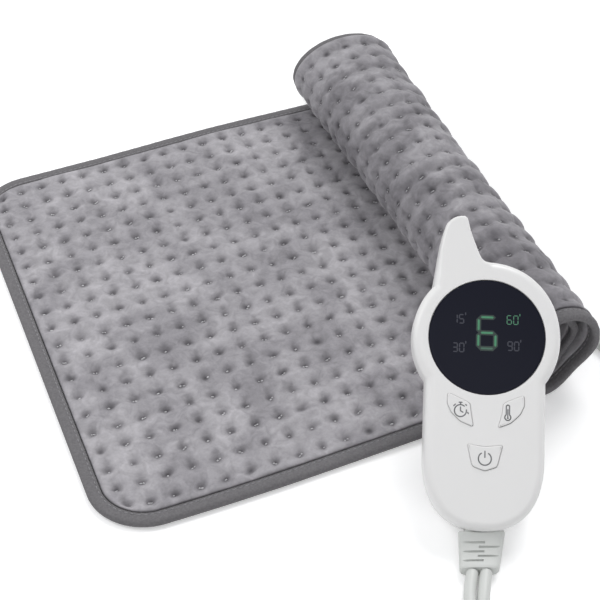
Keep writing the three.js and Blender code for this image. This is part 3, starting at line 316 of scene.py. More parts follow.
def smooth_mesh(name, points, faces, material, sharp=None):
    """A new smooth-shaded object from points in millimetres."""
    mesh = bpy.data.meshes.new(name)
    mesh.from_pydata(row(points).tolist(), [], faces)
    mesh.validate()
    mesh.materials.append(material)
    mesh.shade_smooth()
    if sharp is not None:
        mesh.set_sharp_from_angle(angle=math.radians(sharp))
    piece = bpy.data.objects.new(name, mesh)
    bpy.context.scene.collection.objects.link(piece)
    return piece


def slab(name, along, across, low, high, material):
    """A closed sheet of cloth on a grid, between its lower and its upper offsets."""
    rows, columns = along.shape
    points = np.concatenate([cloth(along, across, low), cloth(along, across, high)])
    count = rows * columns
    index = np.arange(count).reshape(rows, columns)
    corners = [index[:-1, :-1], index[1:, :-1], index[1:, 1:], index[:-1, 1:]]
    upper = np.stack([part.ravel() for part in corners], axis=1) + count
    faces = upper.tolist() + (upper[:, ::-1] - count).tolist()
    rim = [*index[0, :], *index[1:, -1], *index[-1, -2::-1], *index[-2:0:-1, 0]]
    for first, second in zip(rim, [*rim[1:], rim[0]]):
        faces.append((int(second), int(first), int(first) + count, int(second) + count))
    return smooth_mesh(name, points.reshape(-1, 3), faces, material)


def steps(start, end, pitch):
    """Even places from start to end, about a pitch apart."""
    return np.linspace(start, end, max(2, int(round((end - start) / pitch)) + 1))


def tone_ramp(tree, dark, light, low=0.0, high=1.0):
    """A ramp from a dark to a light tone between two places."""
    ramp = new_node(tree, "ValToRGB")
    for element, place, color in zip(ramp.color_ramp.elements, (low, high), (dark, light)):
        element.position = place
        element.color = (*color, 1)
    return ramp


def mixer(tree, blend, **values):
    """A node that lays one colour over another."""
    node = new_node(tree, "MixRGB", **values)
    node.blend_type = blend
    return node


def velvet(name, light, dark):
    """Plush: brushed patches, a soft sheen, a fine nap, and a darkening kept on the mesh: pressed
    welds and painted shade.
    """
    material, tree, shader = principled(name)
    place = new_node(tree, "TexCoord")
    patches = new_node(tree, "TexNoise", Scale=26, Detail=3, Distortion=0.8)
    strokes = new_node(tree, "TexNoise", Scale=130, Detail=4, Distortion=1.2)
    nap = new_node(tree, "TexNoise", Scale=700, Detail=5)
    tones = tone_ramp(tree, dark, light, 0.36, 0.64)
    napped = mixer(tree, "OVERLAY", Fac=0.14)
    brushed = mixer(tree, "OVERLAY", Fac=0.42)
    # darker pressed welds, and painted shade in the pits, beside the dots, in the channels and
    # valleys and under the binding, multiply this colour in
    weld_and_shade_darkened = mixer(tree, "MULTIPLY", Color2=(0.19, 0.185, 0.195, 1))
    weld_and_painted_shade = new_node(tree, "Attribute")
    weld_and_painted_shade.attribute_name = "weld_and_painted_shade"
    bump = new_node(tree, "Bump", Strength=0.35, Distance=0.0004)
    wire(
        tree,
        *((place, "Object", noise, "Vector") for noise in (patches, strokes, nap)),
        (patches, "Fac", tones, "Fac"),
        (tones, "Color", napped, "Color1"),
        (nap, "Fac", napped, "Color2"),
        (napped, "Color", brushed, "Color1"),
        (strokes, "Fac", brushed, "Color2"),
        (brushed, "Color", weld_and_shade_darkened, "Color1"),
        (weld_and_painted_shade, "Fac", weld_and_shade_darkened, "Fac"),
        (weld_and_shade_darkened, "Color", shader, "Base Color"),
        (nap, "Fac", bump, "Height"),
        (bump, "Normal", shader, "Normal"),
    )
    set_inputs(shader, Roughness=0.85, Specular_IOR_Level=0.2)
    set_inputs(shader, Sheen_Weight=0.25, Sheen_Roughness=0.35)
    return material


def from_dot(place, low, pitch):
    """How far each place is from the nearest dot of a row, and that dot's number."""
    number = np.floor((place - low) / pitch)
    return place - low - (number + 0.5) * pitch, number


def hill(distance, width, second=0, second_width=1):
    """A soft hill, 1 at its top, over one distance or over two at right angles."""
    return np.exp(-((distance / width) ** 2) - (second / second_width) ** 2)


# a dot's oval half sizes and its depth, each drawn between two values, and how far its pinch,
# the shallow dish round it and its darker weld reach, in those half sizes; the weld's darkness is
# pressed pile with painted shade in its pit
DOT_LONG, DOT_SHORT, DOT_DEEP, DISH_DEEP = (1.05, 1.5), (0.85, 1.15), (2.0, 2.9), (0.35, 0.8)
PINCH_REACH, PINCH_POWER, DISH_REACH, WELD_SHADE_REACH = 1.75, 1.7, 4.3, 2.1
# three gathers that run out from each dot: their middle and their greatest depth
GATHERS = ((3.4, 1.1), (3.1, 0.9), (3.0, 0.6))
GATHER_WIDTH, GATHER_LENGTH = 0.95, 2.3
VALLEY_WIDTH = 2.4
# the channels between the rows of dots: their width, their depth, and the painted shade in them
CHANNEL_WIDTH, CHANNEL_DEEP, CHANNEL_SHADE = 1.9, 0.42, 0.12
SWELL = 0.55


def quilt(from_row, from_column, row_number, column_number, along, across, seed, valley):
    """The drop of the puffed plush below its crest, and its weld darkening and painted shade, round
    a grid of dots.
    """
    draw = np.random.default_rng(seed)
    counts = (int(row_number.max()) + 1, int(column_number.max()) + 1)
    at = (row_number.astype(int), column_number.astype(int))

    def each_dot(low, high):
        return draw.uniform(low, high, counts)[at]

    lean = each_dot(-0.5, 0.5)
    long_way = from_row * np.cos(lean) + from_column * np.sin(lean)
    short_way = from_column * np.cos(lean) - from_row * np.sin(lean)
    short_way = short_way * np.where(short_way > 0, 1.15, 0.85) + 0.25
    reach = np.hypot(long_way / each_dot(*DOT_LONG), short_way / each_dot(*DOT_SHORT))
    drop = each_dot(*DOT_DEEP) * np.exp(-((reach / PINCH_REACH) ** PINCH_POWER))
    drop = drop + each_dot(*DISH_DEEP) * hill(reach, DISH_REACH)
    for middle, deepest in GATHERS:
        way = each_dot(0, TURN)
        out = from_row * np.cos(way) + from_column * np.sin(way)
        beside = from_column * np.cos(way) - from_row * np.sin(way)
        drop += each_dot(0, deepest) * hill(beside, GATHER_WIDTH, out - middle, GATHER_LENGTH)
    strength = np.clip(0.75 + 0.55 * bumps(along, across, 60, seed + 1), 0.2, 1.5)
    bent = from_column + 1.1 * bumps(along, across, 40, seed + 4)
    drop += valley * strength * hill(bent, VALLEY_WIDTH)
    shown = np.clip(0.3 + bumps(along, across, 34, seed + 3), 0, 1)
    channel = shown * hill(from_row, CHANNEL_WIDTH)
    drop += CHANNEL_DEEP * channel
    # painted shade: a dark patch on the far side of each dot, where its pit's wall is in shade, and
    # in the channels
    painted_shade = each_dot(0, 0.4) * hill(from_row - 0.4, 2.4, from_column - 4, 2.9)
    painted_shade = (painted_shade + CHANNEL_SHADE * channel) * np.clip(1 - (from_column / 7.0) ** 4, 0, 1)
    # each dot's darker weld: pressed pile, with painted shade in its pit
    weld_and_painted_shade = each_dot(0.75, 1) * hill(reach, WELD_SHADE_REACH)
    return drop - SWELL * bumps(along, across, 52, seed + 2), np.maximum(weld_and_painted_shade, painted_shade)


def cover_edges(along, across, width=3.0):
    """1 in the middle of a cover, falling to 0 at its sewn edges."""
    side = np.minimum(across - COVER_EDGE, PAD_WIDTH - COVER_EDGE - across)
    end = along - COVER_EDGE
    distance = np.clip(np.minimum(side, end) / width, 0, 1)
    return np.sqrt(1 - (1 - distance) ** 2)


def sewn_shade(along, across):
    """How dark the plush is where it dives under the binding."""
    return 0.85 * (1 - cover_edges(along, across, 1.6))


def store(piece, name, values):
    """Keeps a value for each corner point of a mesh, for its material to read."""
    attribute = piece.data.attributes.new(name, "FLOAT", "POINT")
    attribute.data.foreach_set("value", np.asarray(values, np.float32).ravel())


HALF_CELL = (0.03, 0.09, 0.155, 0.235, 0.335, 0.45)


def close_at_dots(low, pitch, count):
    """Places across a row of dots, closer together at each dot, from edge to edge."""
    near_dot = np.array([*(-place for place in reversed(HALF_CELL)), *HALF_CELL])
    places = low + pitch * (np.arange(count)[:, None] + 0.5 + near_dot).ravel()
    return np.concatenate([[low + 0.05], places, [low + count * pitch - 0.05]])


row_pitch = (FLAT_LENGTH - COVER_EDGE) / DOT_ROWS
column_pitch = (PAD_WIDTH - 2 * COVER_EDGE) / DOTS_ACROSS
fine_across = close_at_dots(COVER_EDGE, column_pitch, DOTS_ACROSS)
fine_along = close_at_dots(COVER_EDGE, row_pitch, DOT_ROWS)
CLOTH_STEP = 3.5
CREST, ROLLED_LEVEL, EDGE_LEVEL = 3.35, 2.45, 1.9
COVER_BACK, COVER_LEAST = 1.0, 1.15
lengths = np.concatenate([fine_along, steps(FLAT_LENGTH + CLOTH_STEP, CLOTH_END, CLOTH_STEP)])
along, across = np.meshgrid(lengths, fine_across, indexing="ij")
from_row, row_number = from_dot(along, COVER_EDGE, row_pitch)
from_column, column_number = from_dot(across, COVER_EDGE, column_pitch)
drop, pressed_and_painted_shade = quilt(
    from_row, from_column, row_number, column_number, along, across, seed=5, valley=0.35
)
flat = np.clip((FLAT_LENGTH - along) / 6, 0, 1)
# painted shade where the plush dives under the binding
pressed_and_painted_shade = np.maximum(pressed_and_painted_shade, sewn_shade(along, across)) * flat
top = CREST * flat + ROLLED_LEVEL * (1 - flat) - drop * flat
top = np.maximum(EDGE_LEVEL + (top - EDGE_LEVEL) * cover_edges(along, across), COVER_LEAST)
along, across = rounded(along, across)
plush = velvet("grey_plush", (0.405, 0.392, 0.412), (0.285, 0.275, 0.293))
plush_top = slab("plush_top", along, across, np.full(along.shape, COVER_BACK), top, plush)
store(plush_top, "weld_and_painted_shade", np.concatenate([np.zeros(along.size), pressed_and_painted_shade.ravel()]))
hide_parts("pad_top_cover")
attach(plush_top, "heating_pad")

# The weld marks in the upper cover: where a dot was pressed, the pile is melted to small smooth
# bars, a little glossy, whose pale colour is a painted glint. Most dots show one or two of them,
# and a few show none.
MELTED_HIGH = 0.3
# how far each bar of a pair is set aside, and how often it is missing
PAIR = ((-0.6, 0.1), (0.9, 0.5))


def moulded(name, light, dark, roughness, scale=60, relief=0.00006, metallic=0.0, coat=0.0):
    """A hard material with a slight mottle in its tone and gloss, and a very fine grain."""
    material, tree, shader = principled(name)
    place = new_node(tree, "TexCoord")
    mottle = new_node(tree, "TexNoise", Scale=scale, Detail=3)
    grain = new_node(tree, "TexNoise", Scale=scale * 30)
    tones = tone_ramp(tree, dark, light)
    duller = min(roughness * 1.15, 1)
    gloss = new_node(tree, "MapRange", To_Min=roughness * 0.9, To_Max=duller)
    bump = new_node(tree, "Bump", Strength=0.25, Distance=relief)
    wire(
        tree,
        (place, "Object", mottle, "Vector"),
        (place, "Object", grain, "Vector"),
        (mottle, "Fac", tones, "Fac"),
        (tones, "Color", shader, "Base Color"),
        (mottle, "Fac", gloss, "Value"),
        (gloss, "Result", shader, "Roughness"),
        (grain, "Fac", bump, "Height"),
        (bump, "Normal", shader, "Normal"),
    )
    set_inputs(shader, Metallic=metallic, Coat_Weight=coat, Coat_Roughness=0.08)
    return material


def weld_bars(name, places, side, material):
    """Up to two melted bars at each dot, as low beads on the pressed cloth."""
    sixths = [(math.cos(k * math.pi / 3), math.sin(k * math.pi / 3)) for k in range(6)]
    bar = [(-1, 0, 0), *((t, wide, tall) for t in (-0.6, 0.6) for wide, tall in sixths), (1, 0, 0)]
    points, faces = [], []
    draw = np.random.default_rng(77)
    for along, across, level in places:
        turn = draw.uniform(-0.6, 0.6)
        for shift, missing in PAIR:
            if draw.uniform() < missing:
                continue
            first = len(points)
            long, broad = draw.uniform(0.32, 0.62), draw.uniform(0.42, 0.95)
            shift += draw.uniform(-0.35, 0.35)
            lower = draw.uniform(-1.5, -0.7)
            for t, wide, tall in bar:
                x, y = shift + broad * wide, lower + long * t
                turned_x = x * math.cos(turn) - y * math.sin(turn)
                turned_y = x * math.sin(turn) + y * math.cos(turn)
                rise = side * MELTED_HIGH * tall
                points.append((along + turned_x, across + turned_y, level + rise))
            for k in range(6):
                n = (k + 1) % 6
                a, b, c, d = first + 1 + k, first + 1 + n, first + 7 + n, first + 7 + k
                faces += [(first, b, a), (a, b, c, d), (first + 13, d, c)]
    points = np.array(points)
    return smooth_mesh(name, cloth(points[:, 0], points[:, 1], points[:, 2]), faces, material)


# the weld bars: a little glossy, and pale, a painted glint
weld_painted_glint = moulded("weld_painted_glint", (0.66, 0.655, 0.67), (0.3, 0.295, 0.31), 0.3, 95, 0.00003)
dots_across = [COVER_EDGE + (column + 0.5) * column_pitch for column in range(DOTS_ACROSS)]
dots_along = [COVER_EDGE + (number + 0.5) * row_pitch for number in range(DOT_ROWS)]
places = [(length, width, 1.3) for length in dots_along for width in dots_across]
welds_top = weld_bars("top_weld_marks", places, 1, weld_painted_glint)
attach(welds_top, "heating_pad")

# The lower plush cover, which comes to the outside on the roll. Its dots go round the roll in
# rings, with ribs between the rings. At the far end it stands a little over the binding.
DOTS_ROUND = 15
FAR_OVERHANG = 1.8
RIB_NOISE = 0.6
LOWER_LEVEL, RIB_LEVEL = 2.6, 0.7
LOWER_BACK, FAR_LIFT = 1.2, (1.05, 1.6)
turn_end = float(along_at(TURN))
dot_angle = TURN / DOTS_ROUND
lengths = np.concatenate(
    [
        steps(COVER_EDGE + 0.05, FLAT_LENGTH - 3, 6),
        along_at(close_at_dots(0, dot_angle, DOTS_ROUND)),
        steps(turn_end + CLOTH_STEP, CLOTH_END, CLOTH_STEP),
    ]
)
along, across = np.meshgrid(lengths, fine_across, indexing="ij")
angle = angle_at(np.maximum(along, FLAT_LENGTH))
off_angle, row_number = from_dot(angle, 0, dot_angle)
from_row = off_angle * ROLL_RADIUS
from_column, column_number = from_dot(across, COVER_EDGE, column_pitch)
drop, pressed_and_painted_shade = quilt(
    from_row, from_column, row_number, column_number, along, across, seed=15, valley=0.95
)
drop += RIB_NOISE * bumps(0.3 * along + 0.25 * across, across, 19, 23)
# painted shade in the valleys between the rings of dots round the roll
valley_shade = (0.2 + 0.12 * bumps(along, across, 30, 29)) * hill(from_column, 3.1)
outside = np.clip((angle - 0.12) / 0.3, 0, 1) * np.clip((TURN - 0.1 - angle) / 0.3, 0, 1)
near_half = across < PAD_WIDTH / 2
pressed_and_painted_shade = np.maximum(pressed_and_painted_shade, valley_shade)
# painted shade where the plush dives under the binding, on the roll's near half
pressed_and_painted_shade = np.maximum(pressed_and_painted_shade, sewn_shade(along, across) * near_half) * outside
low = -LOWER_LEVEL - RIB_LEVEL * outside + drop * outside
over = np.clip((across - 285) / 6, 0, 1) * outside
edges = np.where(outside > 0, cover_edges(along, across), 1)
low = -(EDGE_LEVEL + FAR_LIFT[0] * over) + (low + EDGE_LEVEL) * edges
high = -LOWER_BACK - FAR_LIFT[1] * over
along, across = rounded(along, across)
across = across + FAR_OVERHANG * np.clip((across - 270) / 22.1, 0, 1) ** 2 * outside
# the roll's plush is the upper cover's plush in darker tones: painted shade for its pile, which
# lies the other way
plush_under = velvet("grey_plush_underside", (0.362, 0.35, 0.369), (0.212, 0.204, 0.219))
plush_bottom = slab(
    "plush_bottom", along, across, np.minimum(low, high - 0.15), high, plush_under
)
store(plush_bottom, "weld_and_painted_shade", np.concatenate([pressed_and_painted_shade.ravel(), np.zeros(along.size)]))
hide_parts("pad_bottom_cover")
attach(plush_bottom, "heating_pad")

# The weld marks on the roll, with a painted glint dimmer than that of the flat stretch. The first
# row along the roll is left out, because the roll lies on the table there.
rows_round = [float(along_at((number + 0.5) * dot_angle)) for number in range(1, DOTS_ROUND)]
places = [(length, width, -1.5) for length in rows_round for width in dots_across]
# the roll's weld bars: pale, a painted glint, dimmer than on the flat stretch
weld_dimmer_painted_glint = moulded("weld_dimmer_painted_glint", (0.46, 0.455, 0.47), (0.24, 0.235, 0.25), 0.3, 95, 0.00003)
welds_roll = weld_bars("roll_weld_marks", places, -1, weld_dimmer_painted_glint)
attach(welds_roll, "heating_pad")


# The carrier felt between the covers, needle-punched polyester that the heating wire is stitched
# to. It shows at no edge, because the binding closes over it.
def cloth_material(name, light, dark, scale, bump_height, roughness=0.9):
    """A matt material with two mixed tones and a fine relief."""
    material, tree, shader = principled(name)
    place = new_node(tree, "TexCoord")
    fibres = new_node(tree, "TexNoise", Scale=scale, Detail=4)
    tones = tone_ramp(tree, dark, light, 0.35, 0.65)
    bump = new_node(tree, "Bump", Strength=0.6, Distance=bump_height)
    wire(
        tree,
        (place, "Object", fibres, "Vector"),
        (fibres, "Fac", tones, "Fac"),
        (tones, "Color", shader, "Base Color"),
        (fibres, "Fac", bump, "Height"),
        (bump, "Normal", shader, "Normal"),
    )
    set_inputs(shader, Roughness=roughness)
    return material


FELT_INSET, FELT_STEP, FELT_THICK = 10, 12, 0.7
felt = cloth_material("white_felt", (0.72, 0.71, 0.68), (0.6, 0.59, 0.56), 1500, 0.0003)
flat_lengths = steps(FELT_INSET, FLAT_LENGTH, FELT_STEP)
rolled_lengths = steps(FLAT_LENGTH + CLOTH_STEP, CLOTH_END, CLOTH_STEP)
lengths = np.concatenate([flat_lengths, rolled_lengths])
widths = steps(FELT_INSET, PAD_WIDTH - FELT_INSET, FELT_STEP)
along, across = np.meshgrid(lengths, widths, indexing="ij")
level = np.full(along.shape, -0.9)
carrier = slab("carrier_felt_layer", along, across, level, level + FELT_THICK, felt)
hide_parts("carrier_felt")
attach(carrier, "heating_pad")

# The binding: a woven tape folded over the three open edges and sewn down near its inner edge.
# Its stitches pull it in, so it ripples a little between them.
BINDING_WIDTH = 7.5
CORNER_RADIUS = 32.0
CORNER_STEPS = 16
EDGE_STEP, ROLLED_STEP = 2.4, 2.2
TAPE_HALF, TAPE_BEND, TAPE_INSIDE = 2.35, 2.3, 1.25
tape = cloth_material("binding_tape", (0.165, 0.159, 0.166), (0.128, 0.124, 0.13), 900, 0.0004)


def edge_stations(inset):
    """Places round the pad's three edges at an inset, and the edge's own places and directions."""
    flat_side = steps(CORNER_RADIUS, FLAT_LENGTH, EDGE_STEP)
    side = [*flat_side, *steps(FLAT_LENGTH + ROLLED_STEP, CLOTH_END, ROLLED_STEP)]
    stations = [(along, 0.0, 0.0, 1.0) for along in reversed(side)]
    for start, centre in ((90, CORNER_RADIUS), (0, PAD_WIDTH - CORNER_RADIUS)):
        for number in range(1, CORNER_STEPS):
            turn = math.radians(start - 90 * number / CORNER_STEPS)
            x, y = math.cos(turn), math.sin(turn)
            stations.append((CORNER_RADIUS - CORNER_RADIUS * x, centre - CORNER_RADIUS * y, x, y))
        if start == 90:
            between = steps(CORNER_RADIUS, PAD_WIDTH - CORNER_RADIUS, EDGE_STEP)
            stations += [(0.0, across, 1.0, 0.0) for across in between]
    stations += [(along, PAD_WIDTH, 0.0, -1.0) for along in side]
    place = np.array(stations)
    return place[:, 0] + place[:, 2] * inset, place[:, 1] + place[:, 3] * inset, place


def tape_profile():
    """The folded tape's section: inward distance and offset, round the outside and back inside."""
    end = BINDING_WIDTH - 0.05
    outer = [(end, 1.5), (BINDING_WIDTH - 0.2, 2.1), (BINDING_WIDTH - 0.7, TAPE_HALF)]
    outer += [(6.4, TAPE_HALF - 0.2), (5.8, TAPE_HALF - 0.28), (5.2, TAPE_HALF - 0.05)]
    outer += [(4.4, TAPE_HALF + 0.1), (3.2, TAPE_HALF + 0.1), (TAPE_BEND, TAPE_HALF)]
    for a in np.linspace(0.3, 1.5, 5):
        outer.append((TAPE_BEND - TAPE_BEND * math.sin(a), TAPE_HALF * math.cos(a)))
    below = [(inward, -offset) for inward, offset in reversed(outer)]
    inner = [(end, -TAPE_INSIDE), (5.0, -TAPE_INSIDE), (2.4, -1.2), (2.4, 1.2), (5.0, TAPE_INSIDE)]
    return np.array([*outer, *below, *inner, (end, TAPE_INSIDE)])


def lengths_along(path):
    """How far each point of a path is from its start, along it."""
    return np.concatenate([[0], np.cumsum(np.linalg.norm(np.diff(path, axis=0), axis=1))])


profile = tape_profile()
_, _, stations = edge_stations(0)
travelled = np.concatenate([[0], np.cumsum(np.hypot(*np.diff(stations[:, :2], axis=0).T))])
ripple = 0.16 * np.sin(travelled * TURN / 7.5) + 0.12 * bumps(travelled, 0.0, 23, 31)
rings = []
for inward, offset in profile:
    along, across, _ = edge_stations(inward)
    outside = np.sign(offset) * (abs(offset) > 1.3)
    swell = ripple * outside * math.sin(math.pi * min(inward / BINDING_WIDTH, 1))
    rings.append(cloth(along, across, offset + swell))
rings = np.stack(rings, axis=1)
around = len(profile)
last = (len(stations) - 1) * around
faces = []
for start in range(0, last, around):
    for k in range(around):
        here, beside = start + k, start + (k + 1) % around
        faces.append((here, here + around, beside + around, beside))
faces.append(tuple(range(around)))
faces.append(tuple(range(last + around - 1, last - 1, -1)))
binding = smooth_mesh("binding_tape_edge", rings.reshape(-1, 3), faces, tape, sharp=60)
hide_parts("edge_binding")
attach(binding, "heating_pad")

# The row of stitches that holds the binding, in grey thread through all the layers. Each stitch is
# a short raised bead, on the upper and on the lower side of the tape.
STITCH_PITCH = 3.4
STITCH_INSET = 6.0
STITCH_SHARE = 0.72
STITCH_LEVEL = 2.12
THREAD_WIDE, THREAD_HIGH = 0.34, 0.26
# a stitch's thickness at shares of its length
STITCH_SWELLS = ((0, 0.1), (0.18, 0.8), (0.5, 1), (0.82, 0.8), (1, 0.1))
thread = cloth_material("grey_thread", (0.27, 0.265, 0.28), (0.2, 0.195, 0.205), 2500, 0.0002, 0.6)
along, across, _ = edge_stations(STITCH_INSET)
shown = along < turn_end
along, across = along[shown], across[shown]
points, faces = [], []
for face in (1, -1):
    path = cloth(along, across, np.full(len(along), face * STITCH_LEVEL))
    above = cloth(along, across, np.full(len(along), face * (STITCH_LEVEL + 1))) - path
    run = lengths_along(path)
    for start in np.arange(1, run[-1] - STITCH_PITCH, STITCH_PITCH):
        if abs(np.interp(start, run, along) - FLAT_LENGTH) < 4 and face == 1:
            continue
        first, second = (
            np.array([np.interp(start + part, run, path[:, k]) for k in range(3)])
            for part in (0, STITCH_PITCH * STITCH_SHARE)
        )
        up = np.array([np.interp(start, run, above[:, k]) for k in range(3)])
        way = second - first
        way /= np.linalg.norm(way)
        side = np.cross(up, way)
        base = len(points)
        for share, size in STITCH_SWELLS:
            centre = first + (second - first) * share
            for turn in np.arange(6) * math.pi / 3:
                spot = side * math.cos(turn) * THREAD_WIDE + up * math.sin(turn) * THREAD_HIGH
                points.append(centre + spot * size)
        for ring in range(len(STITCH_SWELLS) - 1):
            for k in range(6):
                a, b = base + ring * 6 + k, base + ring * 6 + (k + 1) % 6
                faces.append((a, b, b + 6, a + 6))
        faces.append(tuple(base + k for k in reversed(range(6))))
        faces.append(tuple(base + 24 + k for k in range(6)))
stitches = smooth_mesh("binding_stitches", np.array(points), faces, thread)
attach(stitches, "heating_pad")

# The hem at the inner end of the roll: the covers turned in and sewn shut under a tape. Its section
# is flat and rounds off at the very end.
HEM_GAP = 0.3
HEM_HALF, HEM_ROUND = 2.2, 10.9
lengths = steps(CLOTH_END + HEM_GAP, PAD_LENGTH, 1.2)
along, across = np.meshgrid(lengths, steps(0.4, PAD_WIDTH - 0.4, 6), indexing="ij")
rounded_off = 1 - ((along - CLOTH_END - HEM_GAP) / HEM_ROUND) ** 4
rise = HEM_HALF * np.sqrt(np.clip(rounded_off, 0.06, 1))
hem = slab("inner_end_hem", along, across, -rise, rise, tape)
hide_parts("end_hem")
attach(hem, "heating_pad")


# The heating wire, the connector in the pad's far edge, and what hides inside the controller, keep
# their built shapes and get the finish of moulded plastic, board, film, glass and metal.
def dress(material, *names):
    """Gives built pieces a material in every slot."""
    for name in names:
        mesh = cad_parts[name].data
        mesh.materials.clear()
        mesh.materials.append(material)


sheath = moulded("red_wire_sheath", (0.5, 0.07, 0.05), (0.4, 0.05, 0.035), 0.45, 300)
board_green = moulded("board_green", (0.02, 0.13, 0.05), (0.012, 0.09, 0.035), 0.4, 200)
black_plastic = moulded("black_plastic", (0.02, 0.02, 0.022), (0.011, 0.011, 0.012), 0.45, 120)
blue_film = moulded("blue_film", (0.035, 0.14, 0.4), (0.025, 0.1, 0.3), 0.3, 90)
plated_steel = moulded("plated_steel", (0.6, 0.62, 0.64), (0.45, 0.46, 0.48), 0.28, 400, metallic=1)
plated_brass = moulded("plated_brass", (0.78, 0.6, 0.28), (0.66, 0.48, 0.2), 0.25, 400, metallic=1)
fuse_glass, tree, shader = principled("fuse_glass")
frost = new_node(tree, "TexNoise", Scale=300)
wire(tree, (frost, "Fac", shader, "Base Color"))
set_inputs(shader, Transmission_Weight=0.7, Roughness=0.12)
dress(sheath, "heating_wire", *(f"lead_{number}" for number in range(1, 5)))
dress(board_green, "circuit_board")
dress(black_plastic, "digit_display", "relay", "terminal_block", "controller_chip", "pad_socket")
for button in ("timer", "temperature", "power"):
    dress(black_plastic, f"{button}_switch", f"{button}_plunger")
dress(blue_film, "film_capacitor")
dress(fuse_glass, "fuse")
dress(plated_steel, *(f"case_screw_{number}" for number in range(1, 5)))
dress(plated_brass, "socket_pin_left", "socket_pin_right", "plug_blade_left", "plug_blade_right")

# The front half of the controller's case: glossy white plastic in the shape of a keyhole with a
# fin, its edge rounded over. It has a round seat for the window and three holes for the buttons,
# and its foot is cut out for the strain relief's neck.
HALF_WIDTH, SHOULDER = 30.2, 36.0
FOOT_PULL, SHOULDER_PULL = 0.63, 0.36
HEAD_FULLER = 2.05
FRONT_DEPTH, WALL = 10.5, 2.0
PARTING = 0.15
FIN_START, FIN_ROUND_LESS = 128, 0.62
FIN = [
    (1.9, 136.5),
    (0.4, 136.55),
    (-0.9, 136.8),
    (-2.1, 137.5),
    (-3.1, 138.6),
    (-4.5, 141.2),
    (-5.8, 144.7),
    (-7.5, 148.9),
    (-9.0, 153.2),
    (-10.1, 157.6),
    (-10.7, 159.5),
    (-12.1, 160.6),
    (-14.2, 160.55),
    (-16.4, 160.1),
    (-18.3, 159.2),
    (-19.9, 157.8),
    (-21.1, 156.6),
    (-21.9, 155.1),
    (-22.9, 151.8),
    (-23.9, 147.5),
    (-25.0, 140.8),
    (-25.8, 134.7),
    (-26.7, 128.6),
    (-27.4, 124.0),
]


def on_handset(points):
    """Points in the controller's own frame, in millimetres, to the pad's frame."""
    points = np.asarray(points, float)
    turn = np.array(HANDSET.to_3x3())
    return points @ turn.T + np.array(HANDSET.translation)


def controller_outline():
    """The keyhole with its fin, counter-clockwise, and how far each point's edge is rounded."""
    pull = [
        (0, 0),
        (HALF_WIDTH * FOOT_PULL, 0),
        (HALF_WIDTH, SHOULDER * SHOULDER_PULL),
        (HALF_WIDTH, SHOULDER),
    ]
    foot = []
    for t in np.linspace(0, 1, 25):
        weights = [(1 - t) ** 3, 3 * t * (1 - t) ** 2, 3 * t * t * (1 - t), t**3]
        foot.append(sum(w * np.array(p) for w, p in zip(weights, pull)))
    neck = math.acos(HALF_WIDTH / HEAD_RADIUS)

    def arc(start, end, count, fuller=0.0):
        turns = np.linspace(start, end, count)
        rise = np.clip((np.degrees(turns) + 5) / 75, 0, 1)
        radius = HEAD_RADIUS + fuller * np.sin(rise * math.pi / 2) ** 2
        return np.stack([radius * np.cos(turns), HEAD_PLACE + radius * np.sin(turns)], 1)

    sides = np.linspace(SHOULDER, HEAD_PLACE - HEAD_RADIUS * math.sin(neck), 14)[1:-1]
    right = np.stack([np.full(len(sides), HALF_WIDTH), sides], 1)
    right_arc = arc(-neck, math.radians(85), 44, HEAD_FULLER)
    left_arc = arc(math.radians(136.5), math.pi + neck, 34)
    left = right[::-1] * (-1, 1)
    mirrored = np.array(foot)[1:][::-1] * (-1, 1)
    points = np.concatenate([foot, right, right_arc, np.array(FIN), left_arc, left, mirrored])
    high = np.clip((points[:, 1] - FIN_START) / 10, 0, 1)
    in_fin = (points[:, 0] < 0.5) & (points[:, 1] > FIN_START - 5)
    return points, 1 - FIN_ROUND_LESS * high * in_fin


def inwards(points):
    """For each point of a closed outline, the step that moves it 1 mm inside."""
    before, after = np.roll(points, 1, axis=0), np.roll(points, -1, axis=0)
    first, second = points - before, after - points
    first /= np.linalg.norm(first, axis=1)[:, None]
    second /= np.linalg.norm(second, axis=1)[:, None]
    normal = np.stack([-first[:, 1] - second[:, 1], first[:, 0] + second[:, 0]], 1)
    return normal / np.maximum(1 + (first * second).sum(1), 0.7)[:, None]


def ring_at(points, height):
    """An outline as a ring of points at a height."""
    return np.column_stack([points, np.full(len(points), height)])


def lofted(points, step, levels):
    """Rings of an outline at heights, each moved in by its own inset."""
    return [ring_at(points + step * inset, height) for height, inset in levels]


def rounding(depth, high, wide, count=9):
    """Heights and insets of a quarter-round edge, up to full depth."""
    turns = np.linspace(0, math.pi / 2, count)
    return [(depth - high + high * math.sin(a), wide * (1 - math.cos(a))) for a in turns]


def circle(radius, x, y, count=72):
    """A round outline about a centre."""
    turns = np.arange(count) * TURN / count
    return np.stack([x + radius * np.cos(turns), y + radius * np.sin(turns)], 1)


def soft_corners(corners, share=0.2, count=6):
    """A closed outline whose corners are rounded."""
    corners = [np.array(c, float) for c in corners]
    points = []
    for i, corner in enumerate(corners):
        start = corner + (corners[i - 1] - corner) * share
        end = corner + (corners[(i + 1) % len(corners)] - corner) * share
        for t in np.linspace(0, 1, count):
            points.append((1 - t) ** 2 * start + 2 * t * (1 - t) * corner + t * t * end)
    return np.array(points)


def anticlockwise(points):
    """The same outline, run through against the clock."""
    x, y = points.T
    area = (x * np.roll(y, -1) - y * np.roll(x, -1)).sum()
    return points if area > 0 else points[::-1]


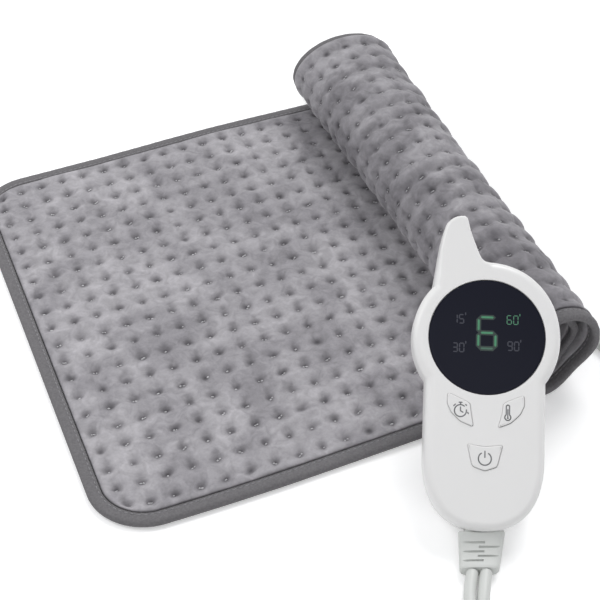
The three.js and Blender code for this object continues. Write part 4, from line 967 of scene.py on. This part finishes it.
def shell(name, rings, loops, material, sharp=35):
    """A closed solid: rings joined by walls, the last and first rings closed round extra loops.
    loops are the walls of through holes, each a list of rings from the first cap to the last."""
    points, faces, starts = [], [], []
    for ring in rings:
        starts.append(len(points))
        points += ring.tolist()
    count = len(rings[0])
    for a, b in zip(starts, starts[1:]):
        for k in range(count):
            n = (k + 1) % count
            faces.append((a + k, a + n, b + n, b + k))
    hole_ends = []
    for loop in loops:
        marks = []
        for ring in loop:
            marks.append((len(points), len(ring)))
            points += ring.tolist()
        for (a, size), (b, _) in zip(marks, marks[1:]):
            for k in range(size):
                n = (k + 1) % size
                faces.append((a + n, a + k, b + k, b + n))
        hole_ends.append((marks[0], marks[-1]))
    for which, flip in ((0, True), (-1, False)):
        outlines = [list(range(starts[which], starts[which] + count))]
        for ends in hole_ends:
            start, size = ends[which]
            outlines.append(list(range(start, start + size)))
        flat_lines = [[Vector((points[i][0], points[i][1], 0)) for i in line] for line in outlines]
        order = [i for line in outlines for i in line]
        for tri in geometry.tessellate_polygon(flat_lines):
            corners = [order[i] for i in tri]
            (ax, ay, _), (bx, by, _), (cx, cy, _) = (points[i] for i in corners)
            upward = (bx - ax) * (cy - ay) - (by - ay) * (cx - ax) > 0
            if upward == flip:
                corners.reverse()
            faces.append(tuple(corners))
    return smooth_mesh(name, on_handset(points), faces, material, sharp)


outline, round_share = controller_outline()
case_step = inwards(outline) * round_share[:, None]


def inside_outline(distance):
    """The outline of the room inside the case: the keyhole without its fin, moved in."""
    body = outline.copy()
    radius = np.hypot(body[:, 0], body[:, 1] - HEAD_PLACE)
    beyond = (radius > HEAD_RADIUS - 0.3) & (body[:, 1] > HEAD_PLACE)
    centre = np.array((0, HEAD_PLACE))
    body[beyond] = centre + (body[beyond] - centre) * (HEAD_RADIUS / radius[beyond])[:, None]
    return body + inwards(body) * distance


def through(outline_at, levels):
    """A hole's wall: rings of one outline at heights, each at its own size."""
    return [ring_at(outline_at(size), height) for height, size in levels]


def window_hole(radius):
    """The round hole that the window sits in."""
    return circle(radius, 0, HEAD_PLACE, 96)


def cut_away(piece, *cutters):
    """Cuts closed shapes out of a piece, and takes them away."""
    for cutter in cutters:
        modifier = piece.modifiers.new("cut", "BOOLEAN")
        modifier.operation = "DIFFERENCE"
        modifier.solver = "EXACT"
        modifier.object = cutter
        bpy.context.view_layer.update()
        result = bpy.data.meshes.new_from_object(
            piece.evaluated_get(bpy.context.evaluated_depsgraph_get())
        )
        piece.modifiers.clear()
        old = piece.data
        piece.data = result
        bpy.data.meshes.remove(old)
        bpy.data.objects.remove(cutter)
    piece.data.shade_smooth()
    piece.data.set_sharp_from_angle(angle=math.radians(35))


BUTTONS = {
    "timer": [
        (-19, 68),
        (-7.9, 63.1),
        (-7.3, 58.5),
        (-6.0, 51.3),
        (-12.6, 53.9),
        (-17.2, 58.3),
        (-19.2, 62.7),
    ],
    "temperature": [
        (19, 68),
        (8.9, 63.7),
        (8.3, 58.5),
        (6.4, 51.3),
        (12.6, 53.9),
        (17.2, 58.3),
        (19.2, 62.7),
    ],
    "power": [
        (8.7, 42.7),
        (0, 41.4),
        (-8.7, 42.7),
        (-7.6, 38),
        (-6.1, 31.8),
        (0, 29.7),
        (6.1, 31.8),
        (7.6, 38),
    ],
}
button_outlines = {name: anticlockwise(soft_corners(corners)) for name, corners in BUTTONS.items()}
HOLE_SHIFT = np.array((0.07, -0.05))
SEAT_LEVELS = [(8.5, 32.5), (6.2, 32.5), (6.2, 27.7), (8.0, 27.7), (8.0, 29.6), (10.2, 29.6)]
SEAT_LEVELS += [(10.42, 29.72), (FRONT_DEPTH, 30.0), (FRONT_DEPTH, 30.6)]
BUTTON_HOLE_LEVELS = [(8.5, 0.16), (10.2, 0.16), (10.42, 0.26), (FRONT_DEPTH, 0.5)]
BUTTON_HOLE_LEVELS += [(FRONT_DEPTH, 0.85)]
front_loops = [through(window_hole, SEAT_LEVELS)]
for points in button_outlines.values():
    front_loops.append(
        through(lambda grow, p=points: p - inwards(p) * grow + HOLE_SHIFT, BUTTON_HOLE_LEVELS)
    )
front_rings = [ring_at(inside_outline(4.4), 8.5), ring_at(inside_outline(2.6), 6.2)]
front_rings += [ring_at(inside_outline(WALL), 2.0), ring_at(inside_outline(WALL), PARTING)]
front_levels = [(PARTING, 0.3), (0.45, 0.0), *rounding(FRONT_DEPTH, 4.5, 4.4), (FRONT_DEPTH, 5.2)]
front_rings += lofted(outline, case_step, front_levels)
white_case = moulded(
    "white_case", (0.84, 0.835, 0.83), (0.815, 0.81, 0.805), 0.34, 30, 0.00003, coat=0.05
)
front_case = shell("controller_front", front_rings, front_loops, white_case)
NECK = np.array([(-8.8, -8), (8.8, -8), (8.8, 7.6), (-8.8, 7.6)])
NECK_LEVELS = [(-2.3, 0), (6.3, 0)]
neck_rings = lofted(NECK, inwards(NECK), NECK_LEVELS)
cut_away(front_case, shell("front_neck", neck_rings, [], white_case))
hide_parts("front_shell")
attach(front_case, "heating_pad")

# The rear half of the case, the same glossy white, rounder at its edge. Four screw wells go
# through it, each with a boss inside.
WELLS = [(x, y) for x in (-24.4, 24.4) for y in (30, 70)]
WELL_LEVELS = [(-13, 3.1), (-12.9, 2.75), (-12.6, 2.6), (-4.15, 2.6), (-4.15, 1.6)]
WELL_LEVELS += [(-PARTING, 1.6), (-PARTING, 4.1), (-11.0, 4.1)]
rear_levels = [(-REAR_DEPTH, 7.0)]
rear_levels += [(-height, inset) for height, inset in reversed(rounding(REAR_DEPTH, 6.0, 5.8))]
rear_levels += [(-0.45, 0.0), (-PARTING, 0.3)]
rear_rings = lofted(outline, case_step, rear_levels)
rear_rings += [ring_at(inside_outline(WALL), -PARTING), ring_at(inside_outline(WALL), -6.0)]
rear_rings += [ring_at(inside_outline(2.9), -9.4), ring_at(inside_outline(4.8), -11.0)]
rear_loops = [
    through(lambda radius, x=x, y=y: circle(radius, x, y, 28), WELL_LEVELS) for x, y in WELLS
]
rear_case = shell("controller_rear", rear_rings, rear_loops, white_case)
cut_away(rear_case, shell("rear_neck", neck_rings, [], white_case))
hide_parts("rear_shell")
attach(rear_case, "heating_pad")

# The display window: a smoked plastic disc, glossy, seated nearly flush in the front. Only the lit
# marks behind it show.
smoked = moulded(
    "smoked_window", (0.008, 0.009, 0.019), (0.0055, 0.0065, 0.014), 0.16, 12, 0.00001
)
set_inputs(smoked.node_tree.nodes["Principled BSDF"], Specular_IOR_Level=0.1)
disc = window_hole(29.3)
disc_levels = [(8.3, 0.3), (8.5, 0), (9.9, 0), (10.12, 0.08), (10.2, 0.35), (10.2, 1.2)]
window = shell("smoked_display_window", lofted(disc, inwards(disc), disc_levels), [], smoked)
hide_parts("display_window")
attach(window, "heating_pad")

# The marks behind the window: a green digit with a faint halo, the minutes left, lit in green, and
# the other minutes, unlit, in their own dark tone with a faint painted glow. They are drawn as bars
# that stand a hair out of the window.
MARK_LOW = 10.1
# the digit's lower left corner, width and height
DIGIT = (-4.3, 91.1, 8.6, 16.0)
FIGURE_WIDE, FIGURE_TALL, FIGURE_PITCH = 2.2, 4.4, 3.3


def glow(name, color, strength):
    """Lit segments, a little uneven, as light through a diffuser."""
    material, tree, shader = principled(name)
    place = new_node(tree, "TexCoord")
    uneven = new_node(tree, "TexNoise", Scale=400)
    tones = tone_ramp(tree, [value * 0.75 for value in color], color)
    wire(
        tree,
        (place, "Object", uneven, "Vector"),
        (uneven, "Fac", tones, "Fac"),
        (tones, "Color", shader, "Emission Color"),
        (tones, "Color", shader, "Base Color"),
    )
    set_inputs(shader, Emission_Strength=strength, Roughness=0.3)
    return material


def bars(name, lines, material, width, low, high, body):
    """Flat bars with pointed ends along straight lines, standing in a surface."""
    points, faces = [], []
    for start, end in lines:
        start, end = np.array(start), np.array(end)
        way = (end - start).astype(float)
        way /= np.linalg.norm(way)
        side = np.array((-way[1], way[0])) * width / 2
        tip = way * width / 2
        ring = [start - tip, start - side, end - side, end + tip, end + side, start + side]
        first = len(points)
        points += [(*p, low) for p in ring] + [(*p, high) for p in ring]
        faces.append(tuple(first + k for k in reversed(range(6))))
        faces.append(tuple(first + 6 + k for k in range(6)))
        for k in range(6):
            n = (k + 1) % 6
            faces.append((first + k, first + n, first + 6 + n, first + 6 + k))
    piece = smooth_mesh(name, on_handset(points), faces, material, 20)
    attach(piece, body)


def segments(x, y, wide, tall, shown, gap):
    """The lines of a seven-segment figure whose lower left corner is at x, y."""
    half = tall / 2
    lines = {
        "top": ((x + gap, y + tall), (x + wide - gap, y + tall)),
        "middle": ((x + gap, y + half), (x + wide - gap, y + half)),
        "bottom": ((x + gap, y), (x + wide - gap, y)),
        "upper_left": ((x, y + half + gap), (x, y + tall - gap)),
        "upper_right": ((x + wide, y + half + gap), (x + wide, y + tall - gap)),
        "lower_left": ((x, y + gap), (x, y + half - gap)),
        "lower_right": ((x + wide, y + gap), (x + wide, y + half - gap)),
    }
    return [lines[name] for name in shown]


FIGURES = {
    "0": ["top", "bottom", "upper_left", "upper_right", "lower_left", "lower_right"],
    "1": ["upper_right", "lower_right"],
    "3": ["top", "middle", "bottom", "upper_right", "lower_right"],
    "5": ["top", "upper_left", "middle", "lower_right", "bottom"],
    "6": ["top", "upper_left", "middle", "lower_left", "lower_right", "bottom"],
    "9": ["top", "upper_left", "middle", "upper_right", "lower_right", "bottom"],
}


def minutes(text, x, y):
    """Two small figures and the minute sign after them."""
    lines = []
    for k, figure in enumerate(text):
        start = x + k * FIGURE_PITCH
        lines += segments(start, y, FIGURE_WIDE, FIGURE_TALL, FIGURES[figure], 0.35)
    return [*lines, ((x + 6.4, y + FIGURE_TALL), (x + 6.4, y + 5.4))]


def window_bars(name, lines, material, width, high):
    """Marks that stand a hair out of the window, lit or unlit."""
    bars(name, lines, material, width, MARK_LOW, high, "heating_pad")


lit_green = glow("lit_green", (0.028, 0.14, 0.07), 0.85)
dim_green = glow("dim_green", (0.028, 0.078, 0.052), 0.7)
mid_green = glow("mid_green", (0.034, 0.125, 0.07), 0.8)
halo_green = glow("halo_green", (0.004, 0.018, 0.014), 0.5)
# the unlit marks: a dark tone of their own, with a faint painted glow
unlit_painted_glow = glow("unlit_mark_painted_glow", (0.014, 0.016, 0.028), 0.6)
six = FIGURES["6"]
lit_six = [line for line in six if line != "bottom"]
window_bars("digit_halo", segments(*DIGIT, six, 1.2), halo_green, 2.5, 10.22)
window_bars("level_digit", segments(*DIGIT, lit_six, 1.6), lit_green, 1.0, 10.27)
window_bars("level_digit_foot", segments(*DIGIT, ["bottom"], 1.6), dim_green, 0.9, 10.26)
window_bars("minutes_60", minutes("60", 10.0, 104.0), mid_green, 0.45, 10.26)
for text, x, y in (("15", -17.4, 103.6), ("30", -17.0, 88.9), ("90", 10.6, 90.6)):
    window_bars(f"minutes_{text}", minutes(text, x, y), unlit_painted_glow, 0.6, 10.23)

# The three push buttons: white caps that stand proud of the front, each with a printed icon for the
# timer, the heat and the power. Each slides down onto its switch.
CAP_TOP = 11.05
CAP_LEVELS = [(7.0, 0.5), (7.2, 0), (CAP_TOP - 0.45, 0), (CAP_TOP - 0.18, 0.1)]
CAP_LEVELS += [(CAP_TOP - 0.04, 0.3), (CAP_TOP, 0.6), (CAP_TOP, 0.85)]
ICON_LINE = 0.62
button_white = moulded("button_white", (0.83, 0.825, 0.82), (0.8, 0.795, 0.79), 0.36, 40, 0.00003)
icon_grey = moulded("icon_grey", (0.2, 0.2, 0.21), (0.16, 0.16, 0.17), 0.5, 200)


def ribbon(lines):
    """Short straight bars that follow a list of open lines."""
    return [pair for line in lines for pair in zip(line, line[1:])]


def ring_line(x, y, radius, start, end, count=20):
    """An open arc between two angles, in degrees."""
    turns = np.radians(np.linspace(start, end, count))
    return [(x + radius * math.cos(a), y + radius * math.sin(a)) for a in turns]


ICONS = {
    "timer": [
        ring_line(-12.6, 59.0, 3.0, 50, 370),
        [(-12.6, 60.9), (-12.6, 59.0), (-11.3, 58.2)],
        [(-13.4, 63.2), (-11.8, 63.2)],
        [(-12.6, 62.2), (-12.6, 63.0)],
        [(-16.0, 61.3), (-15.1, 62.2)],
        [(-10.1, 62.2), (-9.6, 61.7)],
        [(-9.0, 58.3), (-8.6, 57.6)],
    ],
    "temperature": [
        ring_line(11.0, 56.6, 1.5, -236, 56),
        [(10.2, 58.1), (10.2, 62.0)],
        [(11.8, 58.1), (11.8, 62.0)],
        ring_line(11.0, 62.0, 0.8, 0, 180, 8),
        [(11.0, 56.4), (11.0, 60.6)],
        [(10.7, 56.2), (11.3, 56.2)],
    ],
    "power": [ring_line(0, 35.6, 3.2, 122, 418, 26), [(0, 36.2), (0, 39.4)]],
}
for name, points in button_outlines.items():
    button = f"{name}_button"
    cap = shell(f"{name}_cap", lofted(points, inwards(points), CAP_LEVELS), [], button_white)
    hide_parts(button)
    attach(cap, button)
    low, high = CAP_TOP - 0.1, CAP_TOP + 0.05
    icon = ribbon(ICONS[name])
    bars(f"{name}_icon", icon, icon_grey, ICON_LINE, low, high, button)

# The strain relief: soft rubber moulded on both cords, tapered and bent to the floor, with slots
# cut in from alternate sides so that it can flex. Its neck plugs into the case.
TILT = math.asin(0.5577056)
BOOT_WIDE, BOOT_THICK = (23.4, 19.4), (10.5, 8.0)
BOOT_LENGTH, BOOT_RISE, BOOT_LEAN = 20.0, 2.0, 1.3
SLOTS = (0.28, 0.41, 0.54, 0.67, 0.8)
SLOT_REACH, SLOT_HALF, SLOT_DEEP = 11.7, 0.55, 1.1
cord_rubber = moulded("cord_rubber", (0.655, 0.67, 0.65), (0.615, 0.63, 0.61), 0.42, 50, 0.00005)


def boot_place(share):
    """The centre, direction, side and top of the strain relief at a share of its length."""

    def centre(at):
        bend = BOOT_LENGTH / TILT
        turn = TILT * at
        down, up = -0.3 - bend * math.sin(turn), BOOT_RISE + bend * (1 - math.cos(turn))
        return np.array((-BOOT_LEAN * at * at, down, up))

    way = centre(share + 0.01) - centre(share - 0.01)
    way /= np.linalg.norm(way)
    side = np.array((1.0, 0.055, 0))
    up = np.cross(way, side)
    return centre(share), way, side / np.linalg.norm(side), up / np.linalg.norm(up)


def taper(ends, share):
    """A size between its values at the case and at the cords."""
    return ends[0] + (ends[1] - ends[0]) * share


def oval(width, height, squareness, count=40):
    """A ring between an ellipse (squareness 1) and a rectangle (0)."""
    turns = (np.arange(count) + 0.5) * TURN / count
    x, y = np.cos(turns), np.sin(turns)
    x = np.sign(x) * abs(x) ** squareness * width / 2
    y = np.sign(y) * abs(y) ** squareness * height / 2
    return np.stack([x, y], 1)


def skinned(name, rings, material, sharp=40):
    """A closed tube through rings of points."""
    rings = np.array(rings)
    sections, count, _ = rings.shape
    faces = []
    for ring in range(sections - 1):
        for side in range(count):
            here, beside = ring * count + side, ring * count + (side + 1) % count
            faces.append((here, beside, beside + count, here + count))
    faces.append(tuple(reversed(range(count))))
    faces.append(tuple(range((sections - 1) * count, sections * count)))
    middle = rings[0].mean(0)
    ahead = rings[1].mean(0) - middle
    turn = np.cross(rings[0][0] - middle, rings[0][1] - middle) @ ahead
    if turn < 0:
        faces = [tuple(reversed(f)) for f in faces]
    return smooth_mesh(name, rings.reshape(-1, 3), faces, material, sharp)


rings = []
for share in np.linspace(0, 1, 25):
    centre, way, side, up = boot_place(share)
    ease = min(share / 0.05, (1 - share) / 0.035, 1)
    size = 1 - 0.07 * (1 - ease) ** 2
    ring = oval(taper(BOOT_WIDE, share) * size, taper(BOOT_THICK, share) * size, 0.6)
    to_case = 0.0085 * ring[:, :1] ** 2 * max(1 - share / 0.2, 0)
    rings.append(on_handset(centre + ring[:, :1] * side + ring[:, 1:] * up - to_case * way))
boot = skinned("strain_relief_boot", rings, cord_rubber)
cutters = []
for number, share in enumerate(SLOTS):
    centre, way, side, up = boot_place(share)
    sign = -1 if number % 2 == 0 else 1
    for face in (-1, 1):
        surface = up * face * (taper(BOOT_THICK, share) / 2)
        middle = centre + side * sign * BOOT_WIDE[0] * 7 / 16 + surface
        block = []
        for level in (-1, 1):
            deep = up * level * SLOT_DEEP
            corners = [side * s * SLOT_REACH + way * t * SLOT_HALF for s, t in SQUARE]
            block.append([on_handset(middle + corner + deep) for corner in corners])
        cutters.append(skinned("slot", block, cord_rubber))
cut_away(boot, *cutters)
neck_corners = ((-8.5, -2), (8.5, -2), (8.5, 6), (-8.5, 6))
neck_block = [[on_handset((x, y, z)) for x, z in neck_corners] for y in (5.6, -1.5)]
boot_neck = skinned("strain_relief_neck", neck_block, cord_rubber)
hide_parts("strain_relief")
for piece in (boot, boot_neck):
    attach(piece, "heating_pad")

# The mains cord, round and rubbery. It leaves the strain relief, runs over the floor to a flat coil
# in two layers, tied for storage, and on to its plug.
CORD = 6.2
CORD_APART = 3.35
CORD_STEP = 3
COIL_CENTRE, COIL_RADIUS, COIL_LOOPS, COIL_PITCH = (80.1, -137.0), 25.0, 7.25, 6.75
COIL_ENTRY, COIL_CLIMB = -23.5, 0.5
COIL_LIFT = 0.8 + 2 * 0.3
JOIN = 0.3
LEAD_STRAIGHT = 14
TAIL = [
    (46, -176.2, 11.1),
    (32.1, -170.2, 10.5),
    (24.7, -165.7, 10),
    (18.8, -159, 9.4),
    (15.2, -151, 8.9),
    (14, -142.7, 8.8),
    (14, -134.7, 8.8),
]


def curve_points(points, spacing):
    """Evenly spaced points on a centripetal Catmull-Rom curve through a list of points."""
    points = np.array(points, float)
    points = np.concatenate([[2 * points[0] - points[1]], points, [2 * points[-1] - points[-2]]])
    found = []
    for p0, p1, p2, p3 in zip(points, points[1:], points[2:], points[3:]):
        knots = [0.0]
        for a, b in ((p0, p1), (p1, p2), (p2, p3)):
            knots.append(knots[-1] + np.linalg.norm(b - a) ** 0.5)
        k0, k1, k2, k3 = knots
        for t in np.linspace(k1, k2, 24, endpoint=False):
            a1 = (k1 - t) / (k1 - k0) * p0 + (t - k0) / (k1 - k0) * p1
            a2 = (k2 - t) / (k2 - k1) * p1 + (t - k1) / (k2 - k1) * p2
            a3 = (k3 - t) / (k3 - k2) * p2 + (t - k2) / (k3 - k2) * p3
            b1 = (k2 - t) / (k2 - k0) * a1 + (t - k0) / (k2 - k0) * a2
            b2 = (k3 - t) / (k3 - k1) * a2 + (t - k1) / (k3 - k1) * a3
            found.append((k2 - t) / (k2 - k1) * b1 + (t - k1) / (k2 - k1) * b2)
    found.append(points[-2])
    found = np.array(found)
    run = lengths_along(found)
    at = np.linspace(0, run[-1], max(2, int(run[-1] / spacing) + 1))
    return np.stack([np.interp(at, run, found[:, k]) for k in range(3)], 1)


def tube(name, path, diameter, material, count=16):
    """A round closed tube along a path, without twist."""
    path = np.array(path)
    ways = np.gradient(path, axis=0)
    ways /= np.linalg.norm(ways, axis=1)[:, None]
    side = np.cross(ways[0], (0, 0, 1.0))
    side /= np.linalg.norm(side)
    turns = np.arange(count) * TURN / count
    rings = []
    for place, way in zip(path, ways):
        side = side - way * (side @ way)
        side /= np.linalg.norm(side)
        up = np.cross(way, side)
        rings.append(
            place
            + np.cos(turns)[:, None] * side * diameter / 2
            + np.sin(turns)[:, None] * up * diameter / 2
        )
    return skinned(name, rings, material)


def cord_start(sideways):
    """The two points where a cord leaves the strain relief."""
    centre, way, side, _ = boot_place(1.0)
    start = centre + side * sideways + way * JOIN
    return [on_handset(start), on_handset(start + way * LEAD_STRAIGHT)]


def coil_point(loops):
    """The cord's middle after a number of loops: in on the lower layer, and out on the upper."""
    from_middle = loops - COIL_LOOPS / 2
    radius = COIL_RADIUS + COIL_PITCH * abs(from_middle)
    climbed = min(max(from_middle / COIL_CLIMB + 0.5, 0), 1)
    turn = math.radians(COIL_ENTRY) - TURN * loops
    x, y = COIL_CENTRE[0] + radius * math.cos(turn), COIL_CENTRE[1] + radius * math.sin(turn)
    return np.array((x, y, COIL_LIFT + CORD / 2 + COIL_PITCH * climbed))


coil = [coil_point(loops) for loops in np.linspace(0, COIL_LOOPS, int(COIL_LOOPS * 60))]
way_in = coil[1] - coil[0]
way_in /= np.linalg.norm(way_in)
to_coil = [coil[0] - way_in * LEAD_STRAIGHT, coil[0] - way_in * JOIN]
lead_in = curve_points([*cord_start(-CORD_APART), *to_coil], CORD_STEP)
tail = curve_points([coil[-1], *TAIL], CORD_STEP)
mains_path = np.concatenate([lead_in, coil, tail[1:]])
mains = tube("mains_lead", mains_path, CORD, cord_rubber)
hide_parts("mains_cord", "mains_coil", "mains_tail")
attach(mains, "heating_pad")

# The pad's cord, of the same kind. It leaves the strain relief beside the mains cord, goes round
# behind the roll, and ends in the connector in the pad's far edge.
PAD_ROUTE = [
    (152.6, -110.5, 3.4),
    (152.4, -122, 3.4),
    (157.4, -133.5, 3.4),
    (167, -141.4, 3.4),
    (181, -144.6, 3.4),
    (200, -141.6, 3.4),
    (221, -130, 3.4),
    (243, -110, 3.4),
    (264, -84, 3.4),
    (282.9, -51.9, 3.4),
    (291.9, -30, 3.4),
    (301.1, -10.3, 3.4),
    (304.6, 7.2, 3.4),
    (302.7, 19.5, 3.4),
    (298.2, 32.3, 3.4),
    (292.7, 46, 3.4),
    (292.1, 66, 3.4),
    (292.2, 92, 3.4),
    (292.2, 140, 3.4),
    (292.2, 188, 3.4),
    (294.4, 228, 3.4),
    (299.8, 262.2, 3.4),
    (309.4, 295.9, 3.4),
    (315.8, 316.3, 3.4),
    (315.7, 336.8, 3.4),
    (306.9, 352, 3.5),
    (292.9, 359.7, 3.7),
    (277.8, 359.4, 3.9),
    (266.3, 353.1, 4.2),
    (259.9, 344.8, 4.5),
    (257.3, 336, 4.7),
    (256.9, 330.4, 4.8),
]
pad_path = curve_points([*cord_start(CORD_APART), *PAD_ROUTE], CORD_STEP)
pad_lead = tube("pad_lead", pad_path, CORD, cord_rubber)
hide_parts("pad_cord")
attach(pad_lead, "heating_pad")

# The tie round the coil, a strap of black hook-and-loop tape. It keeps its built shape.
black_strap = cloth_material(
    "black_strap", (0.03, 0.03, 0.032), (0.012, 0.012, 0.013), 1800, 0.0003
)
dress(black_strap, "cord_tie")

# The mains plug: rubber moulded round two flat blades, with a flared grip and a ribbed tail that
# keeps the cord from kinking.
PLUG_PLACE = np.array((14.0, -90.4, 8.8))
PLUG_LENGTH = 44


def plug_rib(k):
    """A section of the ribbed tail, wider on every other pair of steps."""
    rib = 0.5 if (k // 2) % 2 else -0.4
    return (-PLUG_LENGTH + k, 8.3 + 0.1 * k + rib, 8.3 + 0.1 * k, 1)


# each section's place, width, height and squareness
PLUG_SECTIONS = [
    (-PLUG_LENGTH, 7.6, 7.6, 1),
    (-43.6, 8.4, 8.4, 1),
    *(plug_rib(k) for k in range(2, 19)),
    (-24.6, 14.5, 10.6, 0.8),
    (-22.5, 17.5, 12.0, 0.6),
    (-19.5, 21.6, 14.4, 0.48),
    (-16.8, 24.2, 16.2, 0.42),
    (-14.0, 25, 16.9, 0.4),
    (-8.0, 24.2, 16.2, 0.4),
    (-4.0, 24.8, 16.7, 0.4),
    (-1.2, 24.6, 16.5, 0.4),
    (-0.4, 23.8, 15.8, 0.4),
    (0.0, 22.4, 14.6, 0.4),
]


def plug_rings(place, sections):
    """Rings across a plug's body, one at each of its sections."""
    rings = []
    for at, width, height, square in sections:
        ring = oval(width, height, square)
        rings.append(place + np.column_stack([ring[:, 0], np.full(len(ring), at), ring[:, 1]]))
    return rings


plug = skinned("moulded_mains_plug", plug_rings(PLUG_PLACE, PLUG_SECTIONS), cord_rubber)
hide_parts("mains_plug")
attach(plug, "heating_pad")

# The pad cord's plug, a small flat rubber one that narrows to the cord and pushes into the socket
# in the pad's far edge.
PAD_PLUG_PLACE = np.array((256.9, 0, 4.8))
PAD_PLUG_SECTIONS = [
    (309.9, 18.6, 7.6, 0.4),
    (310.3, 19.8, 8.6, 0.4),
    (317.5, 19.8, 8.6, 0.4),
    (319.2, 17, 8.4, 0.5),
    (321.1, 11.7, 8.0, 0.8),
    (323.0, 8.4, 7.7, 1),
    (329.8, 7.4, 7.2, 1),
    (330.1, 6.8, 6.8, 1),
]
pad_plug = skinned(
    "pad_connector_plug", plug_rings(PAD_PLUG_PLACE, PAD_PLUG_SECTIONS), cord_rubber
)
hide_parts("pad_plug")
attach(pad_plug, "heating_pad")
